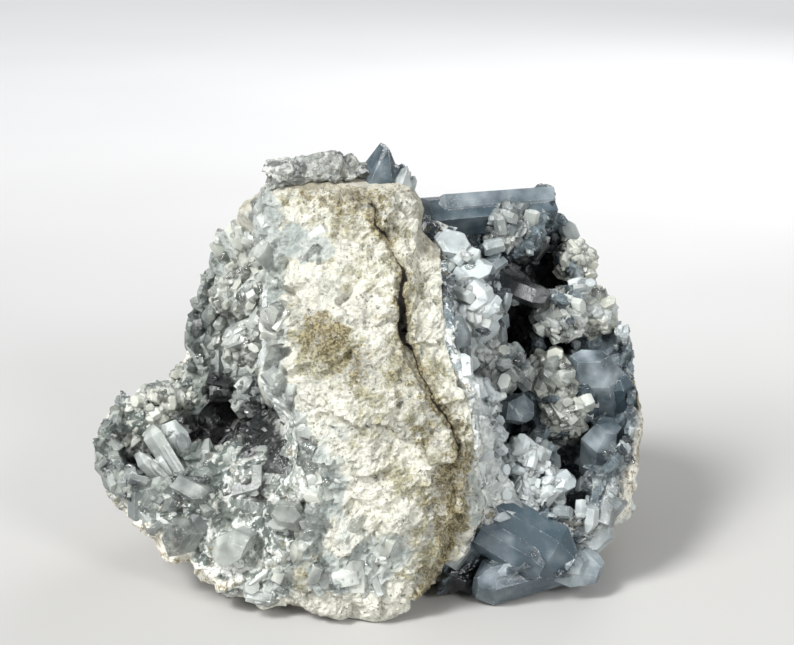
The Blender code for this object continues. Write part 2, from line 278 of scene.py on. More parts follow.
def relaxed(points, edges, rounds, held=0.0):
    """Each point moves towards the mean of its neighbours, by 0.6 of the way each round, less where
    it is held."""
    number = len(points)
    degree = np.bincount(edges.ravel(), minlength=number)[:, None]
    free = 0.6 * (1 - np.broadcast_to(held, number))[:, None]
    first, last = edges.T
    for _ in range(rounds):
        sums = [
            np.bincount(first, line[last], number) + np.bincount(last, line[first], number)
            for line in points.T
        ]
        points = points + free * (np.stack(sums, axis=1) / degree - points)
    return points


# %% [markdown]
# ## Where the hollows are
# The hollows repeat the numbers of the solids. Each was scooped out as one or more ellipsoids,
# crystal grew inwards from the scooped wall, and an opening stayed free in the middle. How far out
# a point lies in an ellipsoid tells which part of the lining it belongs to.

# %% Where the crystal is pale or powdered
def powdered_everywhere(points):
    return np.ones(len(points))


def powdered_above_the_lip(points):
    """The tall hollow's lower lip is bare blue crystal."""
    return ramp(10, 18, points[:, 2])


def pale_by_the_ridge(points):
    """The low hollow's wall is pale where it climbs the ridge: right of x = -30 and above z =
    40."""
    return ramp(-34, -27, points[:, 0]) * ramp(36, 44, points[:, 2])


def pale_on_the_right(points):
    """The tall hollow is pale along the ridge and on its outer rim: 1 left of x = 29 or right of
    51, above its lip. The rim is dark where the slate-blue blocks stand."""
    x, y, z = points.T
    by_ridge = ramp(35, 29, x) * ramp(4, -4, y) * ramp(12, 20, z) * ramp(56, 46, z)
    at_blocks = ramp(14, 20, z) * ramp(52, 45, z)
    return np.maximum(by_ridge, ramp(44, 51, x) * ramp(4, 9, z) * (1 - at_blocks))


# %% The hollows, in millimetres
# An ellipsoid is its middle and its three radii. A mound is its middle, its radius, and the length,
# tone (0 dark, 1 pale) and warmth (0 blue, 1 grey-green) of its crystals. Growth says how much
# longer pale crystals are.
# A dark ellipsoid is where shade is painted: far back, where hardly any light comes, the lining,
# its crystals and the rock nearby are painted near black.
LEFT = {
    "scoops": (((-42, -3, 50), (27, 31, 37)), ((-32, -18, 27), (25, 27, 22))),
    "opening": ((-42, -4, 58), (24.5, 26, 38)),
    "mounds": (
        ((-49.5, 5, 25.5), 4.5, 2.8, 0.9, 0.8), ((-46.5, 13, 28.5), 6, 3.0, 0.95, 0.8),
        ((-40, 19, 28.5), 6, 3.0, 0.95, 0.8), ((-38, 22, 32.5), 4.5, 2.8, 0.95, 0.8),
        ((-23.5, 12, 33.5), 4.8, 2.8, 0.45, 0.5), ((-28, -14, 26.5), 5.0, 3.2, 0.65, 0.6),
        ((-19, -17, 27.5), 3.6, 2.2, 0.45, 0.6), ((-37, -13, 22), 4, 3.0, 0.60, 0.7),
        ((-24, 7, 47), 5, 2.8, 0.85, 0.7), ((-22, 3, 59), 4, 2.8, 0.85, 0.7),
        ((-28, 16, 56), 5, 2.8, 0.85, 0.9),
    ),
    "caves": (((-25, 5, 29), (14, 14, 6)),),
    "dark": (
        ((-25, 9, 27.5), (18, 16, 6.5)), ((-31, 13, 33), (4.5, 9, 6)), ((-44, 6, 23), (9, 9, 4.5)),
        ((-17, -9, 32), (9, 14, 6)), ((-20, -18, 25.5), (5.5, 8, 3.5)),
    ),
    "powder": powdered_everywhere, "pale": pale_by_the_ridge,
    "tone": 0.32, "warmth": 0.75, "growth": 0.35,
}
RIGHT = {
    "scoops": (
        ((38, -2, 47), (23.5, 33, 42)), ((39.5, -13, 16.5), (20, 20, 12.5)),
        ((27, -13, 9.5), (15, 13.5, 6)), ((27, 6, 75), (15, 10, 13)),
    ),
    "opening": ((38.5, -2, 52), (20, 28.5, 36.5)),
    "mounds": (
        ((20.5, -1, 65), 5, 4.5, 0.75, 0.3), ((22.5, -4, 58), 6, 5.0, 0.80, 0.3),
        ((25, -4, 50.5), 4, 4.0, 0.70, 0.5), ((29, -4, 45), 5, 4.2, 0.45, 0.8),
        ((42.5, 10, 53), 5.5, 3.2, 0.75, 0.6), ((49, 16, 52), 6, 3.6, 0.75, 1.0),
        ((31, 13, 71), 5, 3.6, 0.50, 0.5), ((40.5, 6, 40), 5.5, 3.8, 0.62, 0.9),
        ((42.5, 5, 33), 6.5, 4.0, 0.68, 0.9), ((43, 15, 27), 7, 4.2, 0.35, 0.6),
        ((34, -10, 27.5), 4.5, 3.4, 0.95, 0.2), ((36.5, -11, 21), 5.5, 3.8, 1.0, 0.2),
        ((46, 19, 62), 5, 3.2, 0.75, 1.0), ((52, 1, 16), 5, 3.6, 0.75, 0.4),
        ((24, -10, 41), 4.2, 3.2, 0.95, 0.15), ((25.5, -13, 34), 4, 3.2, 1.0, 0.15),
        ((25.5, -14, 27), 3.5, 3.2, 0.95, 0.15), ((51, 10, 21), 5.5, 4.5, 0.35, 0.2),
        ((28, 15, 31), 6.5, 4.5, 0.30, 0.3), ((24, 10, 38), 6, 4.5, 0.35, 0.3),
    ),
    "caves": (),
    "dark": (  # where shade is painted; the last, below the ridge's foot, on the rock too
        ((38, 23, 61), (11, 13, 7)), ((36, 20, 48), (9, 12, 9)), ((44, 6, 14), (12, 14, 6)),
        ((38, 28, 40), (18, 10, 22)), ((47, 8, 16), (4, 10, 9)), ((41, -7, 15), (11, 8, 5)),
        ((34.5, 14, 62.5), (9, 13, 6.2)), ((21, -17, 4), (6, 8, 5)),
    ),
    "powder": powdered_above_the_lip, "pale": pale_on_the_right,
    "tone": 0.4, "warmth": 0.3, "growth": 0.0,
}
for title, hollow in (("low", LEFT), ("tall", RIGHT)):
    print(title, "hollow:", len(hollow["scoops"]), "scoops,", len(hollow["mounds"]), "mounds")


# %% Shares of an ellipsoid
def share_of(points, shape):
    """0 in the ellipsoid's middle and 1 on it: the length of the offset after each axis is divided
    by its radius."""
    middle, radii = (np.array(v, float) for v in shape)
    return np.linalg.norm((points - middle) / radii, axis=1)


def scoop_share(points, hollow):
    """The smallest share over the hollow's scoops: under 1 inside, and 1 on the wall that crystal
    covers."""
    return np.min([share_of(points, scoop) for scoop in hollow["scoops"]], axis=0)


def hollowed(points, hollow, spare):
    """Runs a hollow's caves further back. In units of its radii a point has a depth y and a
    distance r from the cave's axis, and where r is under 1 its depth becomes at least the half
    ball's, the square root of 1 - r^2."""
    for middle, radii in hollow["caves"]:
        radii = np.array(radii, float) * spare
        offset = (points - middle) / radii
        aside = offset[:, 0] ** 2 + offset[:, 2] ** 2
        near = (aside < 1) & (offset[:, 1] > -0.9)
        wall = np.sqrt(np.clip(1 - aside, 0, 1))
        back = middle[1] + radii[..., 1] * np.maximum(offset[:, 1], wall)
        points = np.column_stack([points[:, 0], np.where(near, back, points[:, 1]), points[:, 2]])
    return points


def reshaped(points):
    """Five places where the specimen differs a little from the solids. The ridge's left flank is
    drawn to the right by up to 5.5 mm round the black hollow, its right shoulder is drawn to the
    left by up to 2.6 mm, the tall hollow's lower lip is drawn down by up to 4 mm, the low hollow's
    underside bulges by up to 3.2 mm, and its far rim is drawn in by 2 mm and down by 2.8 mm."""
    x, y, z = points.T
    flank = 5.5 * np.exp(-(((z - 37.5) / 7.5) ** 2)) * ramp(-12, -18, x) * ramp(-34, -28, x)
    lip = 4 * ramp(9, 19, z) * ramp(32, 26, z) * ramp(-7, -13, y)
    lip = lip * ramp(29.5, 34, x) * ramp(53, 47, x)
    shoulder = 2.6 * ramp(46, 58, z) * ramp(80, 74, z) * ramp(8, 16, x) * ramp(30, 22, x)
    bulge = np.exp(-(((points - (-34, -18, 7)) / (11, 11, 8)) ** 2).sum(axis=1))
    far_rim = ramp(18, 26, z) * ramp(46, 38, z) * ramp(-2, 5, y) * ramp(-32, -38, x)
    inward = 2.0 * far_rim * ramp(-42, -52, x)
    return np.column_stack([
        x + flank - shoulder * ramp(6, 0, y) - 1.2 * bulge + inward,
        y - 2.0 * bulge,
        z - lip - 2.2 * bulge - 2.8 * far_rim,
    ])


# %% [markdown]
# ## The rock
# The host rock is fine-grained and chalky. Where it was broken it shows small flat faces, pits and
# sugary edges, and where its old outside is left it is knobbly like a cauliflower. Both are heights
# along the skin's own direction. The crack is a path down the front. The solid already has its
# groove, and the distance to the nearest of the path's straight stretches keeps that groove from
# being smoothed away, and later darkens it.

# %% The crack's path
CRACK = np.array([  # x and height, from the top
    (2, 82.5), (3.5, 78), (6, 74), (8.5, 70.5), (8, 67), (8.5, 63.5), (8.5, 59.5), (10, 55),
    (13.5, 48.5), (16, 45), (18.5, 42), (19.5, 37), (17.5, 32), (18.5, 28), (18.5, 21),
    (17.5, 15.5), (14.5, 8), (10.5, 4.5),
])


def off_path(points, path):
    """How far each point lies off the path seen from the front, under 0 on one side of it. On every
    stretch the nearest spot is the dot product with the stretch over its length squared, kept
    within it, and the cross product tells the side. Points beyond either end get 9."""
    flat = points[:, [0, 2]]
    best, signed = np.full(len(points), np.inf), np.zeros(len(points))
    for number, (start, end) in enumerate(zip(path, path[1:])):
        stretch = end - start
        t = ((flat - start) @ stretch) / (stretch @ stretch)
        offset = flat - start - np.clip(t, 0, 1)[:, None] * stretch
        apart = np.linalg.norm(offset, axis=1)
        side = np.where(stretch[0] * offset[:, 1] > stretch[1] * offset[:, 0], 1.0, -1.0)
        beyond = ((number == 0) & (t < 0)) | ((number == len(path) - 2) & (t > 1))
        signed = np.where(apart < best, np.where(beyond, 9.0, side * apart), signed)
        best = np.minimum(best, apart)
    return signed


print("the crack has", len(CRACK) - 1, "stretches")

# %% The rock's skin, smoothed where nothing has to stay sharp
ROCK_GRAIN = 0.78

rock = fine_skin("rock_skin", "host_rock", ROCK_GRAIN)
skin, edges = points_of(rock.data), edges_of(rock.data)
by_crack = ramp(4.5, 2.5, np.abs(off_path(skin, CRACK))) * (skin[:, 1] < 0)
covered = np.max([ramp(1.035, 1.01, scoop_share(skin, hollow)) for hollow in (LEFT, RIGHT)], axis=0)
skin = relaxed(skin, edges, 10, np.maximum(0.9 * by_crack, 0.8 * covered))
set_points(rock.data, skin)
out = normals_of(rock.data)
print(f"crystal covers {covered.mean():.0%} of the rock")


# %% Broken faces in front and knobs everywhere else
def knobs(points, size, seed):
    """Round knobs of this size: the square root of how far a point is from the border between two
    centres."""
    return np.sqrt(np.clip(broken_faces(points, size, seed)[1] / size, 0, 1))


front = ramp(0.05, 0.5, -out[:, 1]) * ramp(34, 27, np.abs(skin[:, 0]))
broken = 0.30 * broken_faces(skin + 2 * clouds(skin, 9, 11)[:, None], 7.0, 21)[0]
broken = broken + 0.32 * broken_faces(skin, 3.0, 31)[0] + 0.36 * broken_faces(skin, 1.7, 36)[0]
waves = 0.8 * clouds(skin, 14, 41, 2) + 0.8 * clouds(skin, 5.5, 43, 2)
broken += waves + 0.45 * clouds(skin, 2.2, 42, 2)
knobbly = 0.9 * knobs(skin, 5.5, 51) + 0.5 * knobs(skin, 2.6, 61)
knobbly = knobbly - 0.7 + 0.5 * clouds(skin, 11, 71, 3) + 0.15 * clouds(skin, 1.7, 72)
height = (front * broken + (1 - front) * knobbly) * (1 - covered) * ramp(0.2, 3.0, skin[:, 2])
skin = hollowed(reshaped(skin + out * height[:, None]), LEFT, 1.12)
skin[:, 2] = np.maximum(skin[:, 2], 0)
set_points(rock.data, skin)
print("rock skin:", len(skin), "points,", len(triangles_of(rock.data)), "triangles")

# %% [markdown]
# ## Stains and windows
# Four things colour the broken face. Brown earth lies in the crack and in patches, khaki dust lies
# more widely, grey-blue crystal shows through the chalk in windows, and the rest is white. Each is
# a mask: a few soft ovals with ragged borders, kept as one number for each point. The material
# turns the masks into colour.

# %% Where the stains and windows are
# Every oval is its x and height, its two radii, and how strong it is.
EARTH = (
    (-8, 60, 6, 5, 1.0), (-3, 54, 5, 4.5, 0.7), (-11, 57, 3.5, 4, 0.7), (4, 79, 4, 6, 0.7),
    (-4, 83, 13, 4, 0.75), (17, 24, 5.5, 17, 0.9), (14, 9, 4.5, 6, 0.85), (8, 51, 4, 6, 0.5),
    (-14, 13, 8, 5, 0.5), (12, 70, 4, 8, 0.4), (-54, 26, 6, 7, 0.5), (13, 41, 4.5, 7, 0.6),
    (2, 63, 4, 3, 0.45),
)
DUST = (
    (0, 76, 12, 10, 0.75), (-6, 57, 10, 8, 1.0), (4, 49, 9, 12, 0.8), (10, 34, 9, 14, 0.75),
    (15, 16, 10, 14, 0.8), (-12, 13, 10, 7, 0.7), (-14, 83, 10, 4, 0.8), (2, 22, 10, 10, 0.45),
    (14, 60, 6, 10, 0.4),
)
WINDOWS = (
    (-13, 74, 7, 3.0, 1.0), (-20, 79, 4, 5, 0.9), (-19.5, 68, 4, 7, 0.9), (-17, 58, 2.5, 8, 0.7),
    (-16, 45, 3.0, 9, 0.9), (-9, 31, 8, 9, 0.75), (-14, 20, 9, 8, 0.8), (-2, 20, 6, 6, 0.45),
    (-20, 10, 8, 6, 0.7), (26, 31, 4, 18, 1.0), (22.5, 58, 3.0, 14, 0.8), (-5, 41, 4, 3, 0.45),
    (3, 14, 9, 8, 0.7), (-5, 12, 7, 6, 0.7),
)


def ovals(points, shapes, raggedness, seed):
    """The strongest of the ovals at each point: 1 in its middle, falling to 0 past its border,
    which noise pushes in and out."""
    ragged = raggedness * (clouds(points, 7, seed, 2) + 0.7 * clouds(points, 2, seed + 5, 2))
    value = np.zeros(len(points))
    for x, z, wide, tall, strength in shapes:
        far = np.hypot((points[:, 0] - x) / wide, (points[:, 2] - z) / tall) + ragged
        value = np.maximum(value, strength * ramp(1.15, 0.6, far))
    return value


def window_share(points):
    """How much crystal shows through the chalk: the ovals, and a ragged strip along the edge of the
    low hollow."""
    ragged = 0.10 * clouds(points, 8, 86, 3)
    seam = ramp(1.22, 1.04, scoop_share(points, LEFT) + ragged) * (points[:, 1] < 2)
    return np.maximum(ovals(points, WINDOWS, 0.5, 84), 0.8 * seam)


print(len(EARTH), "patches of earth,", len(DUST), "of dust and", len(WINDOWS), "windows")

# %% The rock's masks
CRACK_REACH = 5  # how far beside the crack its distance is kept

in_front = skin[:, 1] < 0
facing = ramp(-0.1, 0.35, -out[:, 1])
crack_off = off_path(skin + 0.8 * clouds(skin, 3, 83)[:, None], CRACK)
crack_apart = np.abs(crack_off)
beside_crack = ramp(3.2, 0.6, crack_apart) * in_front
crack_earth = 0.8 * beside_crack * ramp(-0.6, 0.3, clouds(skin, 4, 85, 2))
crack_dust = 0.9 * ramp(9, 1, crack_apart) * in_front
half_width = 0.10 + 0.75 * ramp(11, 2, np.abs(skin[:, 2] - 61)) + 0.35 * clouds(skin, 3.5, 89, 2)
half_width -= 0.25 * ramp(40, 30, skin[:, 2])
# Painted shade: the deep mask paints the rock near black far back in the low hollow and in the gap
# below the ridge's foot.
hollow_painted_shade = np.max([ramp(1.2, 0.85, share_of(skin, dark)) for dark in LEFT["dark"]], axis=0)
gap_painted_shade = ramp(1.2, 0.85, share_of(skin, RIGHT["dark"][-1])) * ramp(14, 18, skin[:, 0])
set_masks(rock.data, {
    "earth": np.maximum(ovals(skin, EARTH, 0.55, 81) * facing, crack_earth),
    "dust": np.maximum(ovals(skin, DUST, 0.5, 88), crack_dust),
    "window": window_share(skin) * facing * (1 - beside_crack),
    "crack_off": np.clip(crack_off, -CRACK_REACH, CRACK_REACH),
    "crack_width": np.where(in_front & (crack_apart < CRACK_REACH - 0.1), half_width, -2),
    "outer": 1 - front,
    "deep": np.maximum(hollow_painted_shade * ramp(-11, -15, skin[:, 0]), gap_painted_shade),
})
print("masks:", ", ".join(mask.name for mask in rock.data.attributes if mask.data_type == "FLOAT"))

# %% [markdown]
# ## Arithmetic for materials
# A material is a graph of nodes, and its arithmetic reads best as arithmetic. The class below wraps
# a socket, so that an expression such as `1 - mask * 0.5` adds its Math nodes by itself.

# %% A socket that can be reckoned with
class Value:
    """A number that changes over a surface."""

    def __init__(self, finish, socket):
        self.finish, self.socket = finish, socket

    def joined(self, operation, first, second):
        return self.finish.node("ShaderNodeMath", {"operation": operation}, {0: first, 1: second})

    def __add__(self, other):
        return self.joined("ADD", self, other)

    def __sub__(self, other):
        return self.joined("SUBTRACT", self, other)

    def __rsub__(self, other):
        return self.joined("SUBTRACT", other, self)

    def __mul__(self, other):
        return self.joined("MULTIPLY", self, other)

    __radd__ = __add__
    __rmul__ = __mul__


# %% A material and its nodes
class Finish:
    """One material and its nodes."""

    def __init__(self, name, colour):
        self.material = bpy.data.materials.new(name)
        self.material.diffuse_color = (*colour, 1)
        self.material.use_nodes = True
        self.nodes, self.links = self.material.node_tree.nodes, self.material.node_tree.links
        self.nodes.clear()
        self.place = self.node("ShaderNodeTexCoord", {}, {}, "Object")

    def node(self, kind, settings, sockets, result=0):
        """Adds a node: its settings first, then its sockets' numbers or links. Returns the named or
        numbered result."""
        made = self.nodes.new(kind)
        for name, setting in settings.items():
            setattr(made, name, setting)
        for name, value in sockets.items():
            if isinstance(value, Value):
                self.links.new(value.socket, made.inputs[name])
            elif made.inputs[name].type == "RGBA":
                made.inputs[name].default_value = (*value, 1)
            else:
                made.inputs[name].default_value = value
        return Value(self, made.outputs[result])

    def mask(self, name):
        return self.node("ShaderNodeAttribute", {"attribute_name": name}, {}, "Fac")

    def noise(self, size, detail=2.0, roughness=0.5, result=0):
        """Noise whose largest features are this many millimetres across."""
        sockets = {"Vector": self.place, "Scale": 1 / (size * MM)}
        sockets.update(Detail=detail, Roughness=roughness)
        return self.node("ShaderNodeTexNoise", {}, sockets, result)

    def vectors(self, operation, first, second, result=0):
        """Vector arithmetic on two colours or places."""
        sockets = {0: first, 1: second}
        return self.node("ShaderNodeVectorMath", {"operation": operation}, sockets, result)

    def bend(self, size, by):
        """From here on every place is pushed about by up to this many millimetres, so that straight
        borders curve."""
        push = self.vectors("SUBTRACT", self.noise(size, 3, 0.6, "Color"), (0.5, 0.5, 0.5))
        push = self.vectors("MULTIPLY", push, (by * MM, by * MM, by * MM))
        self.place = self.vectors("ADD", self.place, push)

    def grains(self, size, result="Distance", feature="F1"):
        """Scattered grains of this size: how far it is to the nearest, in sizes, or its Color or
        Position."""
        sockets = {"Vector": self.place, "Scale": 1 / (size * MM)}
        return self.node("ShaderNodeTexVoronoi", {"feature": feature}, sockets, result)

    def grain_tone(self, size):
        """A number from 0 to 1 of its own for every grain."""
        return self.node("ShaderNodeSeparateColor", {}, {"Color": self.grains(size, "Color")})

    def between(self, value, low, high):
        """The same ramp as above, for a value of the surface."""
        sockets = {"Value": value, "From Min": low, "From Max": high}
        return self.node("ShaderNodeMapRange", {"interpolation_type": "SMOOTHSTEP"}, sockets)

    def blend(self, share, first, second):
        """The first colour where the share is 0, and the second where it is 1."""
        return self.node("ShaderNodeMix", {"data_type": "RGBA"}, {0: share, 6: first, 7: second}, 2)

    def rounded(self, reach):
        """The surface's direction, with its edges rounded off over this many millimetres."""
        return self.node("ShaderNodeBevel", {"samples": 4}, {"Radius": reach * MM})

    def edge_share(self, rounded):
        """0 on a flat face and 1 on a sharp edge: how far the rounded direction turns away from the
        face's own."""
        own = self.node("ShaderNodeTexCoord", {}, {}, "Normal")
        agreed = self.vectors("DOT_PRODUCT", rounded, own, "Value")
        return self.between(1 - agreed, 0.004, 0.09)

    def bump(self, value, rise, over=None):
        """Relief too fine for the mesh: the value times this many millimetres, over a given
        direction of the surface."""
        sockets = {"Height": value, "Distance": rise * MM}
        if over:
            sockets["Normal"] = over
        return self.node("ShaderNodeBump", {}, sockets)

    def principled(self, sockets):
        return self.node("ShaderNodeBsdfPrincipled", {}, sockets)

    def close(self, surface, volume=None):
        """Joins the surface, and what fills the inside, to the material's output."""
        sockets = {"Surface": surface}
        if volume:
            sockets["Volume"] = volume
        made = self.nodes.new("ShaderNodeOutputMaterial")
        for name, value in sockets.items():
            self.links.new(value.socket, made.inputs[name])
        return self.material


# %% [markdown]
# ## Chalk, earth and the cloth below
# The chalk is never one white. Broad cloudy greys, pits that are darker where the fine relief
# dips, and pale sugary edges break it up, and the stains go over that. Its roughness stays high,
# apart from the windows of crystal, which shine.

# %% The rock's colours: in pairs from dark to light, and single ones
CHALK = ((0.40, 0.40, 0.35), (0.86, 0.85, 0.745))
OLD_SKIN = ((0.36, 0.32, 0.22), (0.72, 0.69, 0.58))
KHAKI_DUST = ((0.16, 0.145, 0.065), (0.50, 0.46, 0.26))
BROWN_EARTH = ((0.12, 0.095, 0.045), (0.42, 0.36, 0.20))
WINDOW_BLUE = ((0.34, 0.39, 0.38), (0.66, 0.70, 0.66))
GREY_CLOUD, PIT, SPECK = (0.33, 0.335, 0.30), (0.14, 0.135, 0.11), (0.09, 0.075, 0.045)
# The second colour is painted shade, for the rock where hardly any light comes.
CRACK_BLACK, PAINTED_HOLLOW_SHADE = (0.012, 0.009, 0.005), (0.01, 0.01, 0.01)


# %% The rock's finish
def rock_finish():
    """Chalk first, and over it in turn: grey clouds, pits, dust, the old outside, windows, earth,
    specks, the crack, and painted shade at the back of the hollows and below the ridge's foot.
    Every border is made ragged by noise of three sizes."""
    look = Finish("host_rock_chalk", (0.8, 0.78, 0.72))
    broad, small, tiny = look.noise(10, 4, 0.6), look.noise(1.9, 5, 0.7), look.noise(0.5, 3, 0.7)
    crumb, sand = look.grain_tone(0.85), look.grain_tone(0.42)
    patch = look.noise(4.5, 3, 0.6)

    speckle = crumb * 0.17 + sand * 0.15 + (small - 0.5) * 1.5 + (broad - 0.5) * 1.3
    colour = look.blend(look.between(speckle, -0.30, 0.30), *CHALK)
    cloudy = look.between(patch + (small - 0.5) * 0.5, 0.52, 0.68)
    colour = look.blend(cloudy * 0.5, colour, GREY_CLOUD)
    # Pits: darker where the fine relief dips.
    pitted = look.between(small + (sand - 0.5) * 0.2, 0.38, 0.27)
    colour = look.blend(pitted * 0.75, colour, PIT)

    dust = look.mask("dust") * 0.9 + (small - 0.5) * 2.2 + (patch - 0.5) * 2.2 + (crumb - 0.5) * 0.2
    grain = tiny + (sand - 0.5) * 0.5
    khaki = look.blend(look.between(grain, 0.25, 0.75), *KHAKI_DUST)
    colour = look.blend(look.between(dust, 0.45, 1.05) * 0.72, colour, khaki)
    old = small * 0.7 + tiny * 0.4 + (crumb - 0.5) * 0.15 + (broad - 0.5) * 1.1
    old_tint = look.blend(look.between(old, 0.30, 0.80), *OLD_SKIN)
    colour = look.blend(look.mask("outer") * 0.8, colour, old_tint)

    blue = look.blend(look.between(small + (broad - 0.5), 0.3, 0.7), *WINDOW_BLUE)
    window = look.between(look.mask("window") + (small - 0.5) * 1.1, 0.34, 0.60)
    colour = look.blend(window * 0.9, colour, blue)
    earth = look.mask("earth") + (small - 0.5) * 2.4 + (tiny - 0.5) * 0.9 + (crumb - 0.5) * 0.25
    soil = look.blend(look.between(grain, 0.3, 0.7), *BROWN_EARTH)
    colour = look.blend(look.between(earth, 0.48, 0.95) * 0.85, colour, soil)
    specks = look.between(look.grains(1.7), 0.20, 0.10) * look.between(broad, 0.42, 0.58)
    colour = look.blend(specks * 0.75, colour, SPECK)

    ragged_off = look.mask("crack_off") + (small - 0.5) * 1.1 + (tiny - 0.5) * 0.5
    off_crack = look.node("ShaderNodeMath", {"operation": "ABSOLUTE"}, {0: ragged_off})
    beyond = off_crack - look.mask("crack_width")
    brown = look.between(beyond + (crumb - 0.5) * 0.8, 1.1, 0.1)
    colour = look.blend(brown * 0.65, colour, soil)
    colour = look.blend(look.between(beyond, 0.22, -0.15), colour, CRACK_BLACK)
    # Painted shade, where the deep mask is set.
    colour = look.blend(look.mask("deep"), colour, PAINTED_HOLLOW_SHADE)

    relief = look.bump(small * 1.2 + tiny * 0.6 + sand * 0.14 + crumb * 0.16, 1.0)
    rough = 0.92 - window * 0.6
    return look.close(look.principled({"Base Color": colour, "Roughness": rough, "Normal": relief}))


rock.data.materials.append(rock_finish())
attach(rock, "root")
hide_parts("host_rock")
print("host_rock_chalk has", len(rock.data.materials[0].node_tree.nodes), "nodes")


# %% The cloth's finish
def floor_finish():
    """The cloth's colour is painted light at the far side, for the lamp's brightest light, and
    painted darker to grey on the near side: painted light and shade."""
    cloth = Finish("pale_cloth", (0.8, 0.79, 0.78))
    far = cloth.node("ShaderNodeSeparateXYZ", {}, {"Vector": cloth.place}, "Y")
    painted_light_share = cloth.between(far, -0.28, 0.75) + (cloth.noise(160, 2) - 0.5) * 0.25
    colour = cloth.blend(painted_light_share, (0.44, 0.433, 0.415), (0.80, 0.80, 0.80))
    return cloth.close(cloth.principled({"Base Color": colour, "Roughness": 0.9}))


floor.data.materials.append(floor_finish())

# %% [markdown]
# ## Crystals by the thousand
# A celestite crystal is a flat-sided prism that ends in a chisel: two broad faces meet in a short
# ridge. All crystals of a piece are one array with an axis for the crystal, one for the ring along
# its length and one for the six sides of a ring. So a thousand crystals take the same few lines as
# one, and each is still a closed solid.

# %% Prisms from arrays
SIDES = 6


def unit(vectors):
    return vectors / np.linalg.norm(vectors, axis=-1, keepdims=True)


def prism_rings(roots, tips, widths, thicknesses, turns, seed, blunt=0.0):
    """Six-sided outlines carried from every root to its tip. A ring's corner i is the ring's
    middle, plus across times the cosine of i sixths of a turn times half the width, plus through
    times its sine times half the thickness. The last ring shrinks to a ridge, and sits a whole
    slope beyond the shoulder below it. A blunt one, up to 1, keeps more of its width and has a
    lower slope."""
    draw = np.random.default_rng(seed)
    count = len(roots)
    axis = tips - roots
    length = np.linalg.norm(axis, axis=1)[:, None]
    axis = axis / length
    helper = np.where(np.abs(axis[:, 2:]) < 0.9, (0.0, 0.0, 1.0), (1.0, 0.0, 0.0))
    first = unit(np.cross(helper, axis))
    second = np.cross(axis, first)
    cos, sin = np.cos(turns)[:, None], np.sin(turns)[:, None]
    across, through = cos * first + sin * second, cos * second - sin * first
    angles = 2 * np.pi * np.arange(SIDES) / SIDES
    wobble = draw.uniform(0.86, 1.12, (count, SIDES))
    wide = np.cos(angles) * wobble * widths[:, None] / 2
    thick = np.sin(angles) * wobble * thicknesses[:, None] / 2
    blunt = np.broadcast_to(blunt, count)[:, None]
    slope = np.minimum(draw.uniform(0.3, 0.6, count) * widths, 0.6 * length[:, 0])
    slope = slope[:, None] * (1 - 0.75 * blunt)
    ridge = draw.uniform(0.25, 0.7, (count, 1)) * (1 - blunt) + 0.92 * blunt
    edge = draw.uniform(0.05, 0.35, (count, 1)) * (1 - blunt) + 0.88 * blunt
    shift = draw.uniform(-0.22, 0.22, (count, 1)) * thicknesses[:, None]
    rings = []
    for reach, narrow, flat, moved in (  # the root, the shoulder and the ridge
        (0 * length, 0.9, 0.9, 0.0), (length - slope, 1.0, 1.0, 0.0), (length, ridge, edge, 1.0),
    ):
        middle = roots + axis * reach + through * shift * moved
        ring = (wide * narrow)[..., None] * across[:, None]
        ring = ring + (thick * flat)[..., None] * through[:, None]
        rings.append(middle[:, None] + ring)
    return np.stack(rings, axis=1)


def drawn_prisms(roots, tips, widths, draw, seed):
    """Prisms whose thickness, turn and bluntness are drawn, in this order."""
    count = len(roots)
    thicknesses = widths * draw.uniform(0.55, 0.95, count)
    turns = draw.uniform(0, 2 * np.pi, count)
    return prism_rings(roots, tips, widths, thicknesses, turns, seed, draw.uniform(0, 0.7, count))


# %% From rings to an object
ALONG = np.array([0.0, 0.75, 1.0])  # how far from root to tip each ring counts for the material


def rings_mesh(name, rings):
    """Faces between each ring and the next, and one across both ends."""
    count, levels, sides, _ = rings.shape
    index = np.arange(count * levels * sides).reshape(count, levels, sides)
    onward = np.roll(index, -1, axis=2)
    walls = np.stack([index[:, :-1], onward[:, :-1], onward[:, 1:], index[:, 1:]], axis=-1)
    ends = np.concatenate([index[:, 0, ::-1], index[:, -1]])
    mesh = bpy.data.meshes.new(name)
    faces = walls.reshape(-1, 4).tolist() + ends.tolist()
    mesh.from_pydata((rings.reshape(-1, 3) * MM).tolist(), [], faces)
    return mesh


def crystals(name, rings, masks):
    """The crystals as one object. A mask holds one number for each crystal, and along is 0 at the
    root and 1 at the tip."""
    made = add_object(name, rings_mesh(name, rings))
    each = np.ones(rings.shape[:3])
    spread = {"along": (each * ALONG[None, :, None]).ravel()}
    for mask, values in masks.items():
        spread[mask] = (each * np.asarray(values)[:, None, None]).ravel()
    set_masks(made.data, spread)
    print(name, len(rings), "crystals")
    return made


def in_celestite(piece, finish):
    """Gives a piece its finish, and says that it rides with the rest."""
    piece.data.materials.append(finish)
    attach(piece, "root")
    print(piece.name, len(triangles_of(piece.data)), "triangles")


# %% [markdown]
# ## Where crystals stand
# Crystals crowd every free surface of a lining. Spots are drawn on the triangles in step with their
# area, and a spot is dropped where its small cube already holds one, so that they stand about
# evenly but in no pattern.

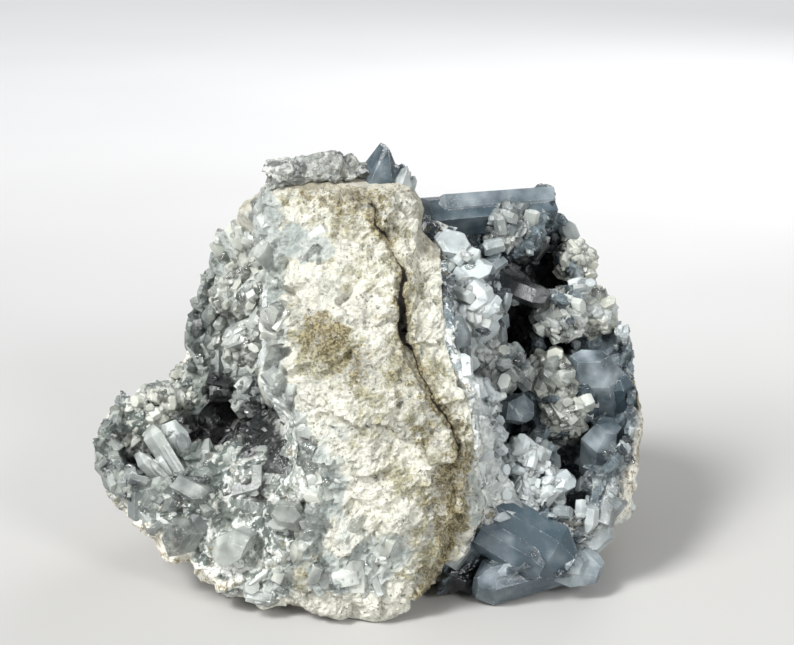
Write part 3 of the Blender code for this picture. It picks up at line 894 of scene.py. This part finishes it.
# %% Spots on a skin
def even_spots(points, normals, triangles, spacing, seed):
    """Points and directions out. A spot in a triangle is a weighted mean of its corners: with two
    draws, the weights are 1 - sqrt(u), sqrt(u)(1 - v) and sqrt(u)v, which fill it evenly."""
    draw = np.random.default_rng(seed)
    a, b, c = (points[triangles[:, i]] for i in range(3))
    area = np.linalg.norm(np.cross(b - a, c - a), axis=1) / 2
    number = int(area.sum() / spacing**2 * 2.5)
    chosen = draw.choice(len(area), number, p=area / area.sum())
    root, v = np.sqrt(draw.random(number)), draw.random(number)
    weights = np.stack([1 - root, root * (1 - v), root * v], axis=1)
    corners = triangles[chosen]
    spots = (points[corners] * weights[..., None]).sum(axis=1)
    ways = unit((normals[corners] * weights[..., None]).sum(axis=1))
    cells = np.floor(spots / spacing).astype(np.int64)
    _, first = np.unique(cells, axis=0, return_index=True)
    return spots[first], ways[first]


def leaning(ways, lean, draw):
    """Each direction pushed aside by up to this much in every axis."""
    return unit(ways + draw.uniform(-lean, lean, ways.shape))


def lying(ways, draw):
    """Directions along the surface, lifted from it a little: a drawn vector less its part along the
    direction out."""
    aside = draw.normal(size=ways.shape)
    aside = unit(aside - (aside * ways).sum(axis=1, keepdims=True) * ways)
    return unit(aside + draw.uniform(-0.15, 0.2, (len(ways), 1)) * ways)


HIGHEST_CHIP = 1.1


def low_on(body, rings):
    """Which chips stay low on the body: neither end is further out from the nearest face than the
    highest may be."""
    tree = BVHTree.FromObject(body, bpy.context.evaluated_depsgraph_get())

    def height(spot):
        nearest, normal, _, apart = tree.find_nearest(Vector(spot * MM))
        return math.copysign(apart, (Vector(spot * MM) - nearest).dot(normal)) / MM

    ends = rings[:, [0, -1]].mean(axis=2)
    return np.array([max(height(end) for end in pair) <= HIGHEST_CHIP for pair in ends])


# %% [markdown]
# ## The largest crystals
# About thirty crystals are large enough to tell apart, so the solids have them one by one, and this
# table repeats their places. Each gets two smaller companions grown along its sides, as real ones
# have. The lining is drawn in round them, so that their flat faces stay whole.

# %% The largest crystals, as the solids have them
COLUMNS = ("root", "tip", "width", "thickness", "turn", "tone", "warmth", "blunt")
LARGE = {
    "left": (
        ((-36, -13, 21), (-44.5, -10, 34.5), 6, 3.2, 70, 0.5, 0.3, 0.3),
        ((-35, -11, 22), (-40.5, -8, 35), 6, 3, 80, 0.4, 0.3, 0.2),
        ((-38, -15, 21), (-46.5, -14.5, 30.5), 5, 3, 60, 0.6, 0.4, 0.2),
        ((-31, -14, 22), (-33, -10, 32), 6, 4, 20, 0.6, 0.6, 0.0),
        ((-12, -9, 36), (-18, -12, 41), 7, 5, 0, 0.8, 0.6, 0.0),
        ((-14, 2, 58), (-23, -4, 55), 8, 6, 20, 0.8, 0.6, 0.0),
        ((-13, 0, 66), (-20.5, -5, 65), 7, 5, 50, 0.8, 0.5, 0.2),
        ((-20, 10, 52), (-29, 3, 48), 7, 5, 10, 0.7, 0.6, 0.0),
        ((-20, -12, 14), (-27, -30, 16), 9, 6, 30, 0.5, 0.5, 0.7),
        ((-30, -12, 12), (-38, -26, 17), 9, 7, 70, 0.55, 0.4, 0.7),
        ((-12, -16, 20), (-15, -33.5, 24), 8, 6, 0, 0.7, 0.5, 0.6),
    ),
    "right": (
        ((40, 20.5, 74), (9, 11, 73.5), 12, 10.5, 10, 0.15, 0.0, 0.0),
        ((16.5, 7, 64), (18.7, -1, 72.5), 6.5, 6, 45, 0.8, 0.1, 1.0),
        ((20, 5, 62), (24, -5, 68), 8, 6, 20, 0.9, 0.3, 0.3),
        ((20, 3, 58), (26, -8, 55), 8, 6.5, 35, 0.9, 0.3, 0.2),
        ((17, 13, 64), (39, 3, 58), 6.5, 5, 0, 0.5, 0.1, 0.5),
        ((20, 4, 50), (29, -7, 46), 8, 6, 60, 0.5, 0.6, 0.3),
        ((53, 13, 28), (48.5, 4, 46), 14, 9, 10, 0.18, 0.0, 0.4),
        ((51, 7, 15), (51.5, 0, 31), 10, 8, 30, 0.20, 0.0, 0.4),
        ((34, -5, 20), (33.5, -11, 33), 5, 4.5, 30, 0.9, 0.1, 0.2),
        ((36, -4, 20), (43, -14, 24), 6.5, 5, 10, 0.95, 0.1, 0.3),
        ((23, 8, 34), (34, -8.5, 37.5), 7.5, 6, 15, 0.3, 0.2, 0.3),
        ((26, -17, 17.5), (44, -22, 8), 13, 6, 75, 0.17, 0.1, 0.1),
        ((34, -12, 9), (49, -20, 6.5), 11, 7, 40, 0.22, 0.1, 0.2),
        ((43, -15, 6.5), (23, -22.5, 4.5), 9.5, 8, 60, 0.3, 0.0, 0.1),
        ((46, 0, 9), (49, -16, 12), 10, 8, 45, 0.95, 0.2, 0.4),
        ((30, -5, 14), (29, -20, 19), 8, 5, 20, 0.6, 0.1, 0.3),
    ),
    "crest": (
        ((2, 5, 79), (6, 3.5, 91), 9, 7, 25, 0.15, 0.0, 0.0),
        ((7, 5, 79), (9, 1.5, 87), 5.5, 5, 60, 0.9, 0.3, 0.0),
    ),
}
for side, rows in LARGE.items():
    print(side, len(rows), "large crystals")


# %% Large crystals and their companions
COMPANIONS = 2  # how many smaller crystals grow along each


def large_column(side, name):
    """One column of the table, a row for each large crystal."""
    return np.array([row[COLUMNS.index(name)] for row in LARGE[side]], float)


def large_rings(side, seed):
    """Every large crystal with smaller ones grown along its sides, at the same slant and a little
    shorter."""
    draw = np.random.default_rng(seed)
    roots, tips, widths, thicknesses, degrees, blunt = (
        large_column(side, name) for name in ("root", "tip", "width", "thickness", "turn", "blunt")
    )
    turns, axis, count = np.radians(degrees), tips - roots, len(roots)
    groups = [prism_rings(roots, tips, widths * 1.04, thicknesses * 1.04, turns, seed, blunt)]
    for number in range(COMPANIONS):
        aside = unit(np.cross(unit(axis), unit(draw.normal(size=axis.shape))))
        start = roots + aside * (widths * draw.uniform(0.26, 0.36, count))[:, None]
        end = start + axis * draw.uniform(0.6, 0.9, (count, 1))
        narrow = widths * draw.uniform(0.4, 0.62, count)
        thin = thicknesses * draw.uniform(0.45, 0.7, count)
        twisted = turns + draw.uniform(-0.1, 0.1, count)
        groups.append(prism_rings(start, end, narrow, thin, twisted, seed + number + 1, blunt))
    return np.concatenate(groups)


def large_masks(side):
    """The tone and warmth of each large crystal, repeated for its companions."""
    return {name: np.tile(large_column(side, name), 1 + COMPANIONS) for name in ("tone", "warmth")}


def near_large(points, side, widths, start):
    """How far each point is inside a large crystal's reach: 1 on its axis, 0 at this many widths
    from it. The reach begins this share of the way along the crystal."""
    share = np.zeros(len(points))
    for root, tip, width, *_ in LARGE[side]:
        root, axis = np.array(root, float), np.subtract(tip, root)
        t = ((points - root) @ axis) / (axis @ axis)
        apart = np.linalg.norm(points - root - np.clip(t, start, 1)[:, None] * axis, axis=1)
        share = np.maximum(share, 1 - apart / (widths * width))
    return np.clip(share, 0, 1)


print("large prisms:", {side: len(large_rings(side, 0)) for side in LARGE})

# %% [markdown]
# ## The linings
# A lining is a crust of intergrown crystal between the rock and the opening. Its body comes from
# the imported solid, cut fine and roughened, and its masks say where it is pale, where it is
# powdered, where shade is painted on it, and where it still has the old skin of the specimen.

# %% Shares that the masks are made of
def broken_share(points, hollow):
    """1 on the faces where the lining was split open, and 0 inside the hollow."""
    return ramp(1.05, 1.2, share_of(points, hollow["opening"]))


def rind_share(points, out):
    """1 where the outer face turns under or outwards, so that the old skin of the specimen is left
    on it."""
    x, y, z = points.T
    away = out[:, 2] * 0.8 - out[:, 1] * 0.6 - 0.25 * np.abs(out[:, 0])
    away = away + 0.25 * clouds(points, 6, 91, 2)
    away -= 0.4 * ramp(-49, -54, x)
    away -= 0.8 * ramp(-46, -51, x) * ramp(2, -4, y) * ramp(17, 21, z)
    return ramp(0.34, 0.10, away)


def on_mounds(points, hollow):
    """1 on the lining's swellings, and 0 two millimetres beyond them."""
    beyond = [
        np.linalg.norm(points - np.array(middle), axis=1) - radius
        for middle, radius, *_ in hollow["mounds"]
    ]
    return ramp(2.0, 0.8, np.min(beyond, axis=0))


def painted_shade_share(points, hollow):
    """How much shade is painted on a point far back in the hollow, where hardly any light comes: 1
    in its darkest places."""
    far = np.max([ramp(1.2, 0.75, share_of(points, dark)) for dark in hollow["dark"]], axis=0)
    return far * (1 - 0.8 * on_mounds(points, hollow))


# %% The lining's body
LINING_GRAIN = 0.72


def lining_body(side, node, hollow, seed):
    """The lining in even squares, drawn in a little and roughened by broken faces along its
    direction out."""
    body = fine_skin(side + "_lining", node, LINING_GRAIN)
    points = relaxed(points_of(body.data), edges_of(body.data), 4)
    set_points(body.data, points)
    out = normals_of(body.data)
    faces = 0.28 * broken_faces(points, 2.2, seed)[0]
    faces = faces + 0.26 * broken_faces(points, 7.0, seed + 3)[0]
    free = ramp(0.985, 0.93, scoop_share(points, hollow))
    taken = ramp(0.0, 0.3, near_large(points, side, 0.75, 0.25))
    rise = free * (faces - 0.35) + (1 - free) * (1 - taken) - 1.5 * taken
    points = points + out * rise[:, None]
    points = hollowed(reshaped(points), hollow, np.where(free > 0.5, 1.0, 1.06)[:, None])
    points[:, 2] = np.maximum(points[:, 2], 0.4)
    set_points(body.data, points)
    broken_open = broken_share(points, hollow)
    at_ridge = ramp(29, 21, np.abs(points[:, 0]))
    set_masks(body.data, {
        "rind": broken_open * rind_share(points, out) * (1 - at_ridge),
        "powder": broken_open * hollow["powder"](points),
        "pale": hollow["pale"](points),
        # the deep mask holds the painted shade
        "deep": painted_shade_share(points, hollow),
    })
    return body


# %% [markdown]
# ## Crowds and clumps
# Crystals grow on a lining in crowds: small and larger ones on the walls, and low broken chips on
# its outer faces, where the specimen was split. Round every mound they form a ball. The small ones
# stand up at a slant. The others lie along the mass, as in a broken crust, sunk in by part of their
# width, so that only their faces show.

# %% A crowd of crystals
# Their spacing, shortest and longest, how wide they are for their length, and how deep they sit:
# the fine ones in millimetres, the others in their own widths.
CRYSTAL_SIZES = {
    "fine": (1.9, 1.7, 3.0, (0.6, 0.95), 0.9),
    "coarse": (3.0, 3.6, 7.0, (0.6, 0.95), 0.20),
    "chips": (3.4, 4.0, 10.5, (0.5, 0.9), 0.31),
}
HEART = np.array((0.0, 5.0, 35.0))  # the middle of the whole specimen
ENDS = 58.0  # no loose crystal reaches further out to the left or right


def crowd(side, body, hollow, kind, seed, keep):
    """One crowd of crystals on the lining. keep takes the spots and their directions out, and says
    how likely each is to hold a crystal."""
    spacing, shortest, longest, broad, sunk = CRYSTAL_SIZES[kind]
    draw = np.random.default_rng(seed)
    mesh = body.data
    spots, ways = even_spots(points_of(mesh), normals_of(mesh), triangles_of(mesh), spacing, seed)
    free = (scoop_share(spots, hollow) < 0.965) & (near_large(spots, side, 0.6, 0.2) == 0)
    chosen = free & (spots[:, 2] > 2.5) & (draw.random(len(spots)) < keep(spots, ways))
    spots, ways = spots[chosen], ways[chosen]
    size = draw.uniform(shortest, longest, len(spots)) * (1 + 0.3 * clouds(spots, 12, seed))
    if kind == "coarse":
        size *= 1 + hollow["growth"] * hollow["pale"](spots)
    flat = kind != "fine"
    aim = lying(ways, draw) if flat else leaning(ways, 0.55, draw)
    size *= 1 - 0.5 * ramp(0.1, 0.7, (aim * unit(spots - HEART)).sum(axis=1))
    width = size * draw.uniform(*broad, len(spots))
    roots = spots - aim * sunk
    if flat:
        roots = spots - aim * 0.5 * size[:, None] - ways * sunk * width[:, None]
    rings = drawn_prisms(roots, roots + aim * size[:, None], width, draw, seed)
    rings[..., 2] = np.maximum(rings[..., 2], 0.3)
    rings = rings[np.abs(rings[..., 0]).max(axis=(1, 2)) < ENDS]
    return rings[low_on(body, rings)] if flat else rings


# %% A ball of crystals
def druse(middle, radius, length, seed):
    """Crystals standing out of a mound on every side. Their directions are spread as a sunflower
    spreads its seeds: the heights step evenly from one pole of a ball to the other, and every turn
    is the golden angle on from the last."""
    draw = np.random.default_rng(seed)
    number = int(4 * np.pi * (radius / (0.42 * length)) ** 2)
    height = 1 - 2 * (np.arange(number) + 0.5) / number
    turn = np.arange(number) * np.pi * (3 - 5**0.5)
    level = np.sqrt(1 - height**2)
    even = np.stack([level * np.cos(turn), level * np.sin(turn), height], axis=1)
    ways = leaning(even, 0.35, draw)
    size = length * draw.uniform(0.5, 1.0, number) ** 2 * 1.35
    lumpy = radius * (0.92 + 0.5 * clouds(middle + ways * radius, radius, seed, 2))
    aim = unit(0.7 * ways + draw.normal(scale=0.8, size=ways.shape))
    tips = middle + ways * (lumpy - 0.15 * size)[:, None] + aim * 0.35 * size[:, None]
    width = size * draw.uniform(0.6, 1.0, number)
    return drawn_prisms(tips - aim * size[:, None], tips, width, draw, seed)


# %% [markdown]
# ## Celestite
# Celestite is clear to milky, and faintly blue. Two shaders meet in it: a clear one that lets light
# through and bends it, and a milky one that scatters it. Roots are milkier than tips, each crystal
# has a milkiness of its own, and a faint blue gathers with depth, from what fills the crystal.

# %% Celestite finishes
WARM, SUGAR = (0.60, 0.615, 0.53), (0.86, 0.87, 0.85)
SHADE, CLEAR_SHADE, CLEAREST = (0.010, 0.012, 0.013), (0.1, 0.11, 0.12), (0.97, 0.99, 0.98)
REFRACTION = 1.62  # celestite's own
EVENLY = (1.0, 1.0, 1.0)  # light of every colour is scattered equally far


def celestite(name, pale, dark, absorbed, density, milkiness):
    """pale and dark are the milky tints of the palest and the darkest crystals, absorbed and
    density the colour of their depth, and milkiness says how far they lean from clear to milky."""
    look = Finish(name, pale)
    tone, shade = look.mask("tone"), look.mask("shade")
    cloud, veil, fine = look.noise(5, 2, 0.5), look.noise(1.4, 3, 0.6), look.noise(0.35, 2, 0.6)
    rounded = look.rounded(0.2)
    # Edges are whitened in patches: partly wear of chipped edges, partly a painted highlight along
    # them.
    wear_and_highlight = look.edge_share(rounded) * look.between(veil + (fine - 0.5) * 0.5, 0.45, 0.75) * 0.7
    sugary = look.between(veil, 0.60, 0.72) * look.between(tone, 0.2, 0.6)

    milk_colour = look.blend(look.mask("warmth"), pale, WARM)
    milk_colour = look.blend(look.between(tone + (cloud - 0.5) * 0.7, 0.0, 0.95), dark, milk_colour)
    milk_colour = look.blend(sugary * 0.55, milk_colour, SUGAR)
    milk_colour = look.blend(wear_and_highlight, milk_colour, SUGAR)
    # Painted shade: crystals far back in the hollows are painted near black by the shade mask.
    milk_colour = look.blend(shade * 0.95, milk_colour, SHADE)
    clear_colour = look.blend(look.between(tone, 0.0, 0.6), tuple(v**0.5 for v in dark), CLEAREST)
    clear_colour = look.blend(shade * 0.9, clear_colour, CLEAR_SHADE)

    relief = look.bump(fine + cloud * 0.8 + veil * 1.2, 0.10, rounded)
    glass = look.principled({
        "Base Color": clear_colour, "Roughness": look.between(fine, 0.3, 0.8) * 0.10 + 0.03,
        "Normal": relief, "IOR": REFRACTION, "Transmission Weight": 1.0,
    })
    cloudy = look.principled({
        "Base Color": milk_colour, "Roughness": look.between(fine, 0.2, 0.8) * 0.20 + 0.10,
        "Normal": relief, "IOR": REFRACTION,
        "Subsurface Weight": 0.5, "Subsurface Radius": EVENLY, "Subsurface Scale": 1.2 * MM,
    })
    by_root = (0.8 - look.mask("along")) * 0.4
    milky = look.mask("milk") + by_root + (cloud - 0.5) * 0.7 + wear_and_highlight * 0.4 + milkiness
    share = look.between(milky, 0.1, 0.9)
    surface = look.node("ShaderNodeMixShader", {}, {0: share, 1: glass, 2: cloudy})
    depth = look.node("ShaderNodeVolumeAbsorption", {}, {"Color": absorbed, "Density": density})
    return look.close(surface, depth)


# %% The broken crystal mass between them
WALL = ((0.34, 0.39, 0.39), (0.80, 0.82, 0.79))  # pale walls, in the gaps and on the crystal
RIND = ((0.30, 0.24, 0.13), (0.84, 0.82, 0.73))  # the old skin, brown and creamy
POWDER, GLINT, GRIME = (0.80, 0.81, 0.76), (0.86, 0.88, 0.86), (0.20, 0.15, 0.06)


def lining_finish(name, dark, light, painted_shade_colour, facet):
    """The crust between the crystals. Its facets are cells of scattered centres, each with a tone
    and a tilt of its own: the relief is the dot product of the offset from the cell's centre and
    the cell's drawn tilt."""
    look = Finish(name, light)
    broad, small, tiny = look.noise(6, 3, 0.6), look.noise(1.2, 3, 0.6), look.noise(0.4, 2, 0.7)
    look.bend(facet * 0.6, facet * 0.7)
    tilt = look.vectors("SUBTRACT", look.grains(facet, "Color"), (0.5, 0.5, 0.5))
    offset = look.vectors("SUBTRACT", look.place, look.grains(facet, "Position"))
    slope = look.vectors("DOT_PRODUCT", offset, tilt, "Value")
    border = look.grains(facet, "Distance", "DISTANCE_TO_EDGE")
    splinter, glint = look.grain_tone(facet * 0.3), look.grain_tone(0.9)
    bare = look.mask("powder") * (1 - look.mask("deep"))

    facets = look.grain_tone(facet) * 0.7 + splinter * 0.2 + small * 0.3 + (broad - 0.5) * 0.7
    colour = look.blend(look.between(facets, 0.25, 0.95), dark, light)
    colour = look.blend(look.mask("pale"), colour, look.blend(small, *WALL))
    # Painted shade: near black where the deep mask says hardly any light comes.
    colour = look.blend(look.mask("deep") * 0.97, colour, painted_shade_colour)

    seam = border - (tiny - 0.5) * 0.25 - (broad - 0.5) * 0.45 - (splinter - 0.5) * 0.12
    powder = look.between(seam, 0.09, 0.0) * bare
    colour = look.blend(powder * 0.75, colour, POWDER)
    # Painted sparkle: the bright specks are painted highlights, and the dark specks painted shade.
    colour = look.blend(look.between(glint, 0.80, 0.86) * bare * 0.7, colour, GLINT)
    colour = look.blend(look.between(glint, 0.20, 0.14) * bare * 0.6, colour, dark)
    grime = look.between(look.noise(2.6, 4, 0.7) + (tiny - 0.5) * 0.3, 0.58, 0.66) * bare
    colour = look.blend(grime * 0.75, colour, GRIME)
    rind_tint = look.blend(look.between(small + (tiny - 0.5) * 0.4, 0.36, 0.52), *RIND)
    colour = look.blend(look.mask("rind") * bare * 0.92, colour, rind_tint)

    in_mm = slope * (1 / MM)
    relief = look.bump(in_mm * 0.6 + splinter * 0.3 + glint * 0.3 + small * 0.3 + tiny * 0.15, 1.0)
    dull = look.mask("rind") * 0.5 + powder * 0.5
    return look.close(look.principled({
        "Base Color": colour, "Roughness": 0.16 + dull, "Normal": relief, "IOR": REFRACTION,
        "Subsurface Weight": 0.3, "Subsurface Radius": EVENLY, "Subsurface Scale": 0.8 * MM,
    }))


# %% Three kinds of crystal and three linings
PALE = celestite(
    "celestite_pale", (0.64, 0.69, 0.68), (0.13, 0.155, 0.155), (0.86, 0.93, 0.92), 18, 0.10
)
BLUE = celestite(
    "celestite_blue", (0.66, 0.72, 0.74), (0.06, 0.085, 0.10), (0.70, 0.84, 0.88), 25, 0.25
)
DEEP = celestite(
    "celestite_deep", (0.62, 0.69, 0.72), (0.055, 0.085, 0.105), (0.60, 0.78, 0.86), 40, 0.2
)
LEFT_LINING = lining_finish(
    "lining_pale", (0.13, 0.155, 0.14), (0.36, 0.39, 0.355), (0.008, 0.008, 0.008), 7.5
)
RIGHT_LINING = lining_finish(
    "lining_blue", (0.025, 0.035, 0.042), (0.17, 0.215, 0.235), (0.004, 0.005, 0.006), 6.0
)
CREST_LINING = lining_finish(
    "lining_crest", (0.11, 0.12, 0.115), (0.33, 0.345, 0.315), (0.1, 0.1, 0.1), 4.5
)
for finish in (PALE, LEFT_LINING):
    print(finish.name, "has", len(finish.node_tree.nodes), "nodes")

# %% [markdown]
# ## The stump on the crest
# Along the top of the ridge stands a stump of crystal, broken short, with a dark tip beside it. It
# is made as the linings are, with two large crystals of its own.

# %% Dress the crest
def dress_crest(seed):
    """The stump's body, roughened and drawn in round its crystals, and the crystals."""
    body = fine_skin("crest_stump", "crest_crystals", 0.5)
    points = relaxed(points_of(body.data), edges_of(body.data), 5)
    set_points(body.data, points)
    taken = ramp(0.0, 0.3, near_large(points, "crest", 0.7, 0.2))
    faces = 0.26 * broken_faces(points, 1.9, seed)[0] + 0.30 * broken_faces(points, 4.5, seed)[0]
    rise = faces - 0.1 + 0.35 * clouds(points, 3.5, seed, 2) - 1.2 * taken
    set_points(body.data, points + normals_of(body.data) * rise[:, None])
    set_masks(body.data, {"powder": 0.4 + 0.3 * clouds(points, 6, seed)})
    rings = large_rings("crest", seed)
    milk = np.random.default_rng(seed).uniform(0.3, 0.6, len(rings))
    masks = {**large_masks("crest"), "milk": milk, "shade": np.zeros(len(rings))}
    in_celestite(body, CREST_LINING)
    in_celestite(crystals("crest_tips", rings, masks), DEEP)
    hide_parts("crest_crystals")


dress_crest(300)

# %% [markdown]
# ## Crystal in the rock's windows
# In its windows, and along the low hollow's edge, the rock is broken through to crystal. Chips like
# those of the linings are rooted there just under the chalk. None stands on the crack or on the
# patch of bare earth.

# %% Chips in the windows
BARE_EARTH = EARTH[5:7]


def rock_chips(seed):
    """Flat-lying chips of 2.4 to 7 mm in the windows and at the seam."""
    draw = np.random.default_rng(seed)
    spots, ways = even_spots(skin, normals_of(rock.data), triangles_of(rock.data), 2.6, seed)
    in_window = window_share(spots) * (ways[:, 1] < -0.1) * (spots[:, 2] > 2.5)
    off_crack = np.abs(off_path(spots, CRACK)) > 2.5
    at_seam = ramp(1.16, 1.06, scoop_share(spots, LEFT)) * (spots[:, 1] < -8)
    likely = np.maximum(0.5 * ramp(0.35, 0.8, in_window), 0.9 * at_seam)
    off_earth = ovals(spots, BARE_EARTH, 0.2, 81) < 0.3
    chosen = (draw.random(len(spots)) < likely) & off_crack & off_earth
    spots, ways = spots[chosen], ways[chosen]
    size = draw.uniform(2.4, 7.0, len(spots))
    aim = lying(ways, draw)
    width = size * draw.uniform(0.5, 0.9, len(spots))
    roots = spots - aim * 0.5 * size[:, None] - ways * 0.3 * width[:, None]
    rings = drawn_prisms(roots, roots + aim * size[:, None], width, draw, seed)
    rings = rings[low_on(rock, rings)]
    masks = {
        "tone": draw.uniform(0.6, 1.0, len(rings)), "warmth": draw.uniform(0.3, 0.8, len(rings)),
        "milk": draw.uniform(0.0, 0.5, len(rings)), "shade": np.zeros(len(rings)),
    }
    in_celestite(crystals("rock_chips", rings, masks), PALE)


rock_chips(400)

# %% [markdown]
# ## Both hollows
# Each hollow is the lining's body, five crowds of crystal on it, and their masks. A crystal's tone,
# warmth and milkiness are drawn round a middle value: the table's for clumps and large crystals,
# and the hollow's own for the rest.

# %% The balls on a hollow's mounds
def mound_rings(hollow, seed):
    """The balls on all of the hollow's mounds, without what would poke through its outer wall or
    the floor, and the tone and warmth of their crystals."""
    balls, tones, warmths = [], [], []
    for number, (middle, radius, length, tone, warmth) in enumerate(hollow["mounds"]):
        ball = druse(np.array(middle, float), radius, length, seed + number)
        within = scoop_share(ball[:, -1].mean(axis=1), hollow) < 0.985
        kept = within & (ball[..., 2].min(axis=(1, 2)) > 0.5)
        balls.append(ball[kept])
        tones.append(np.full(kept.sum(), float(tone)))
        warmths.append(np.full(kept.sum(), float(warmth)))
    return np.concatenate(balls), {"tone": np.concatenate(tones), "warmth": np.concatenate(warmths)}


# %% Dress a hollow
def dress_hollow(side, node, hollow, seed, looks, fine_on_walls, coarse_on_walls, chips_outside):
    """The lining and its crystals. The last three say how thickly small and larger crystals cover
    the plain walls, and chips the broken outer faces. looks are the finishes of the lining, the
    crowds and the large crystals."""
    body = lining_body(side, node, hollow, seed)

    def inside(on_walls):
        def likely(spots, ways):
            open_share = ramp(1.2, 1.08, share_of(spots, hollow["opening"]))
            return on_walls * open_share * (1 - on_mounds(spots, hollow))

        return likely

    def outside(spots, ways):
        by_rock = ramp(0.88, 0.93, scoop_share(spots, hollow)) * ramp(26, 20, np.abs(spots[:, 0]))
        by_rock = by_rock * (ways[:, 1] < -0.5)
        likely = np.maximum(chips_outside * (1 - rind_share(spots, ways)), 0.9 * by_rock)
        return likely * broken_share(spots, hollow)

    balls, ball_masks = mound_rings(hollow, seed + 60)
    crowds = {
        "fine_crystals": crowd(side, body, hollow, "fine", seed + 10, inside(fine_on_walls)),
        "coarse_crystals": crowd(side, body, hollow, "coarse", seed + 20, inside(coarse_on_walls)),
        "chips": crowd(side, body, hollow, "chips", seed + 30, outside),
        "mound_crystals": balls,
        "large_crystals": large_rings(side, seed + 40),
    }
    own = {"mound_crystals": ball_masks, "large_crystals": large_masks(side)}
    in_celestite(body, looks[0])
    for number, (name, rings) in enumerate(crowds.items()):
        draw = np.random.default_rng(seed + 50 + number)
        large = name == "large_crystals"
        middles = rings.mean(axis=(1, 2))
        tone = hollow["tone"] + (0.9 - hollow["tone"]) * hollow["pale"](middles)
        plain = {"tone": tone, "warmth": hollow["warmth"], **own.get(name, {})}
        masks = {
            "tone": np.clip(plain["tone"] + draw.uniform(-0.16, 0.16, len(rings)), 0, 1),
            "warmth": np.clip(plain["warmth"] + draw.uniform(-0.2, 0.2, len(rings)), 0, 1),
            "milk": draw.uniform(0.4 if large else 0.1, 0.75, len(rings)),
            "shade": painted_shade_share(middles, hollow),
        }
        in_celestite(crystals(f"{side}_{name}", rings, masks), looks[2] if large else looks[1])
    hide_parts(node)


# %% Both hollows
dress_hollow("left", "left_hollow_crust", LEFT, 100, (LEFT_LINING, PALE, PALE), 0.45, 0.85, 0.35)
dress_hollow("right", "right_hollow_crust", RIGHT, 200, (RIGHT_LINING, BLUE, DEEP), 0.2, 0.5, 0.5)
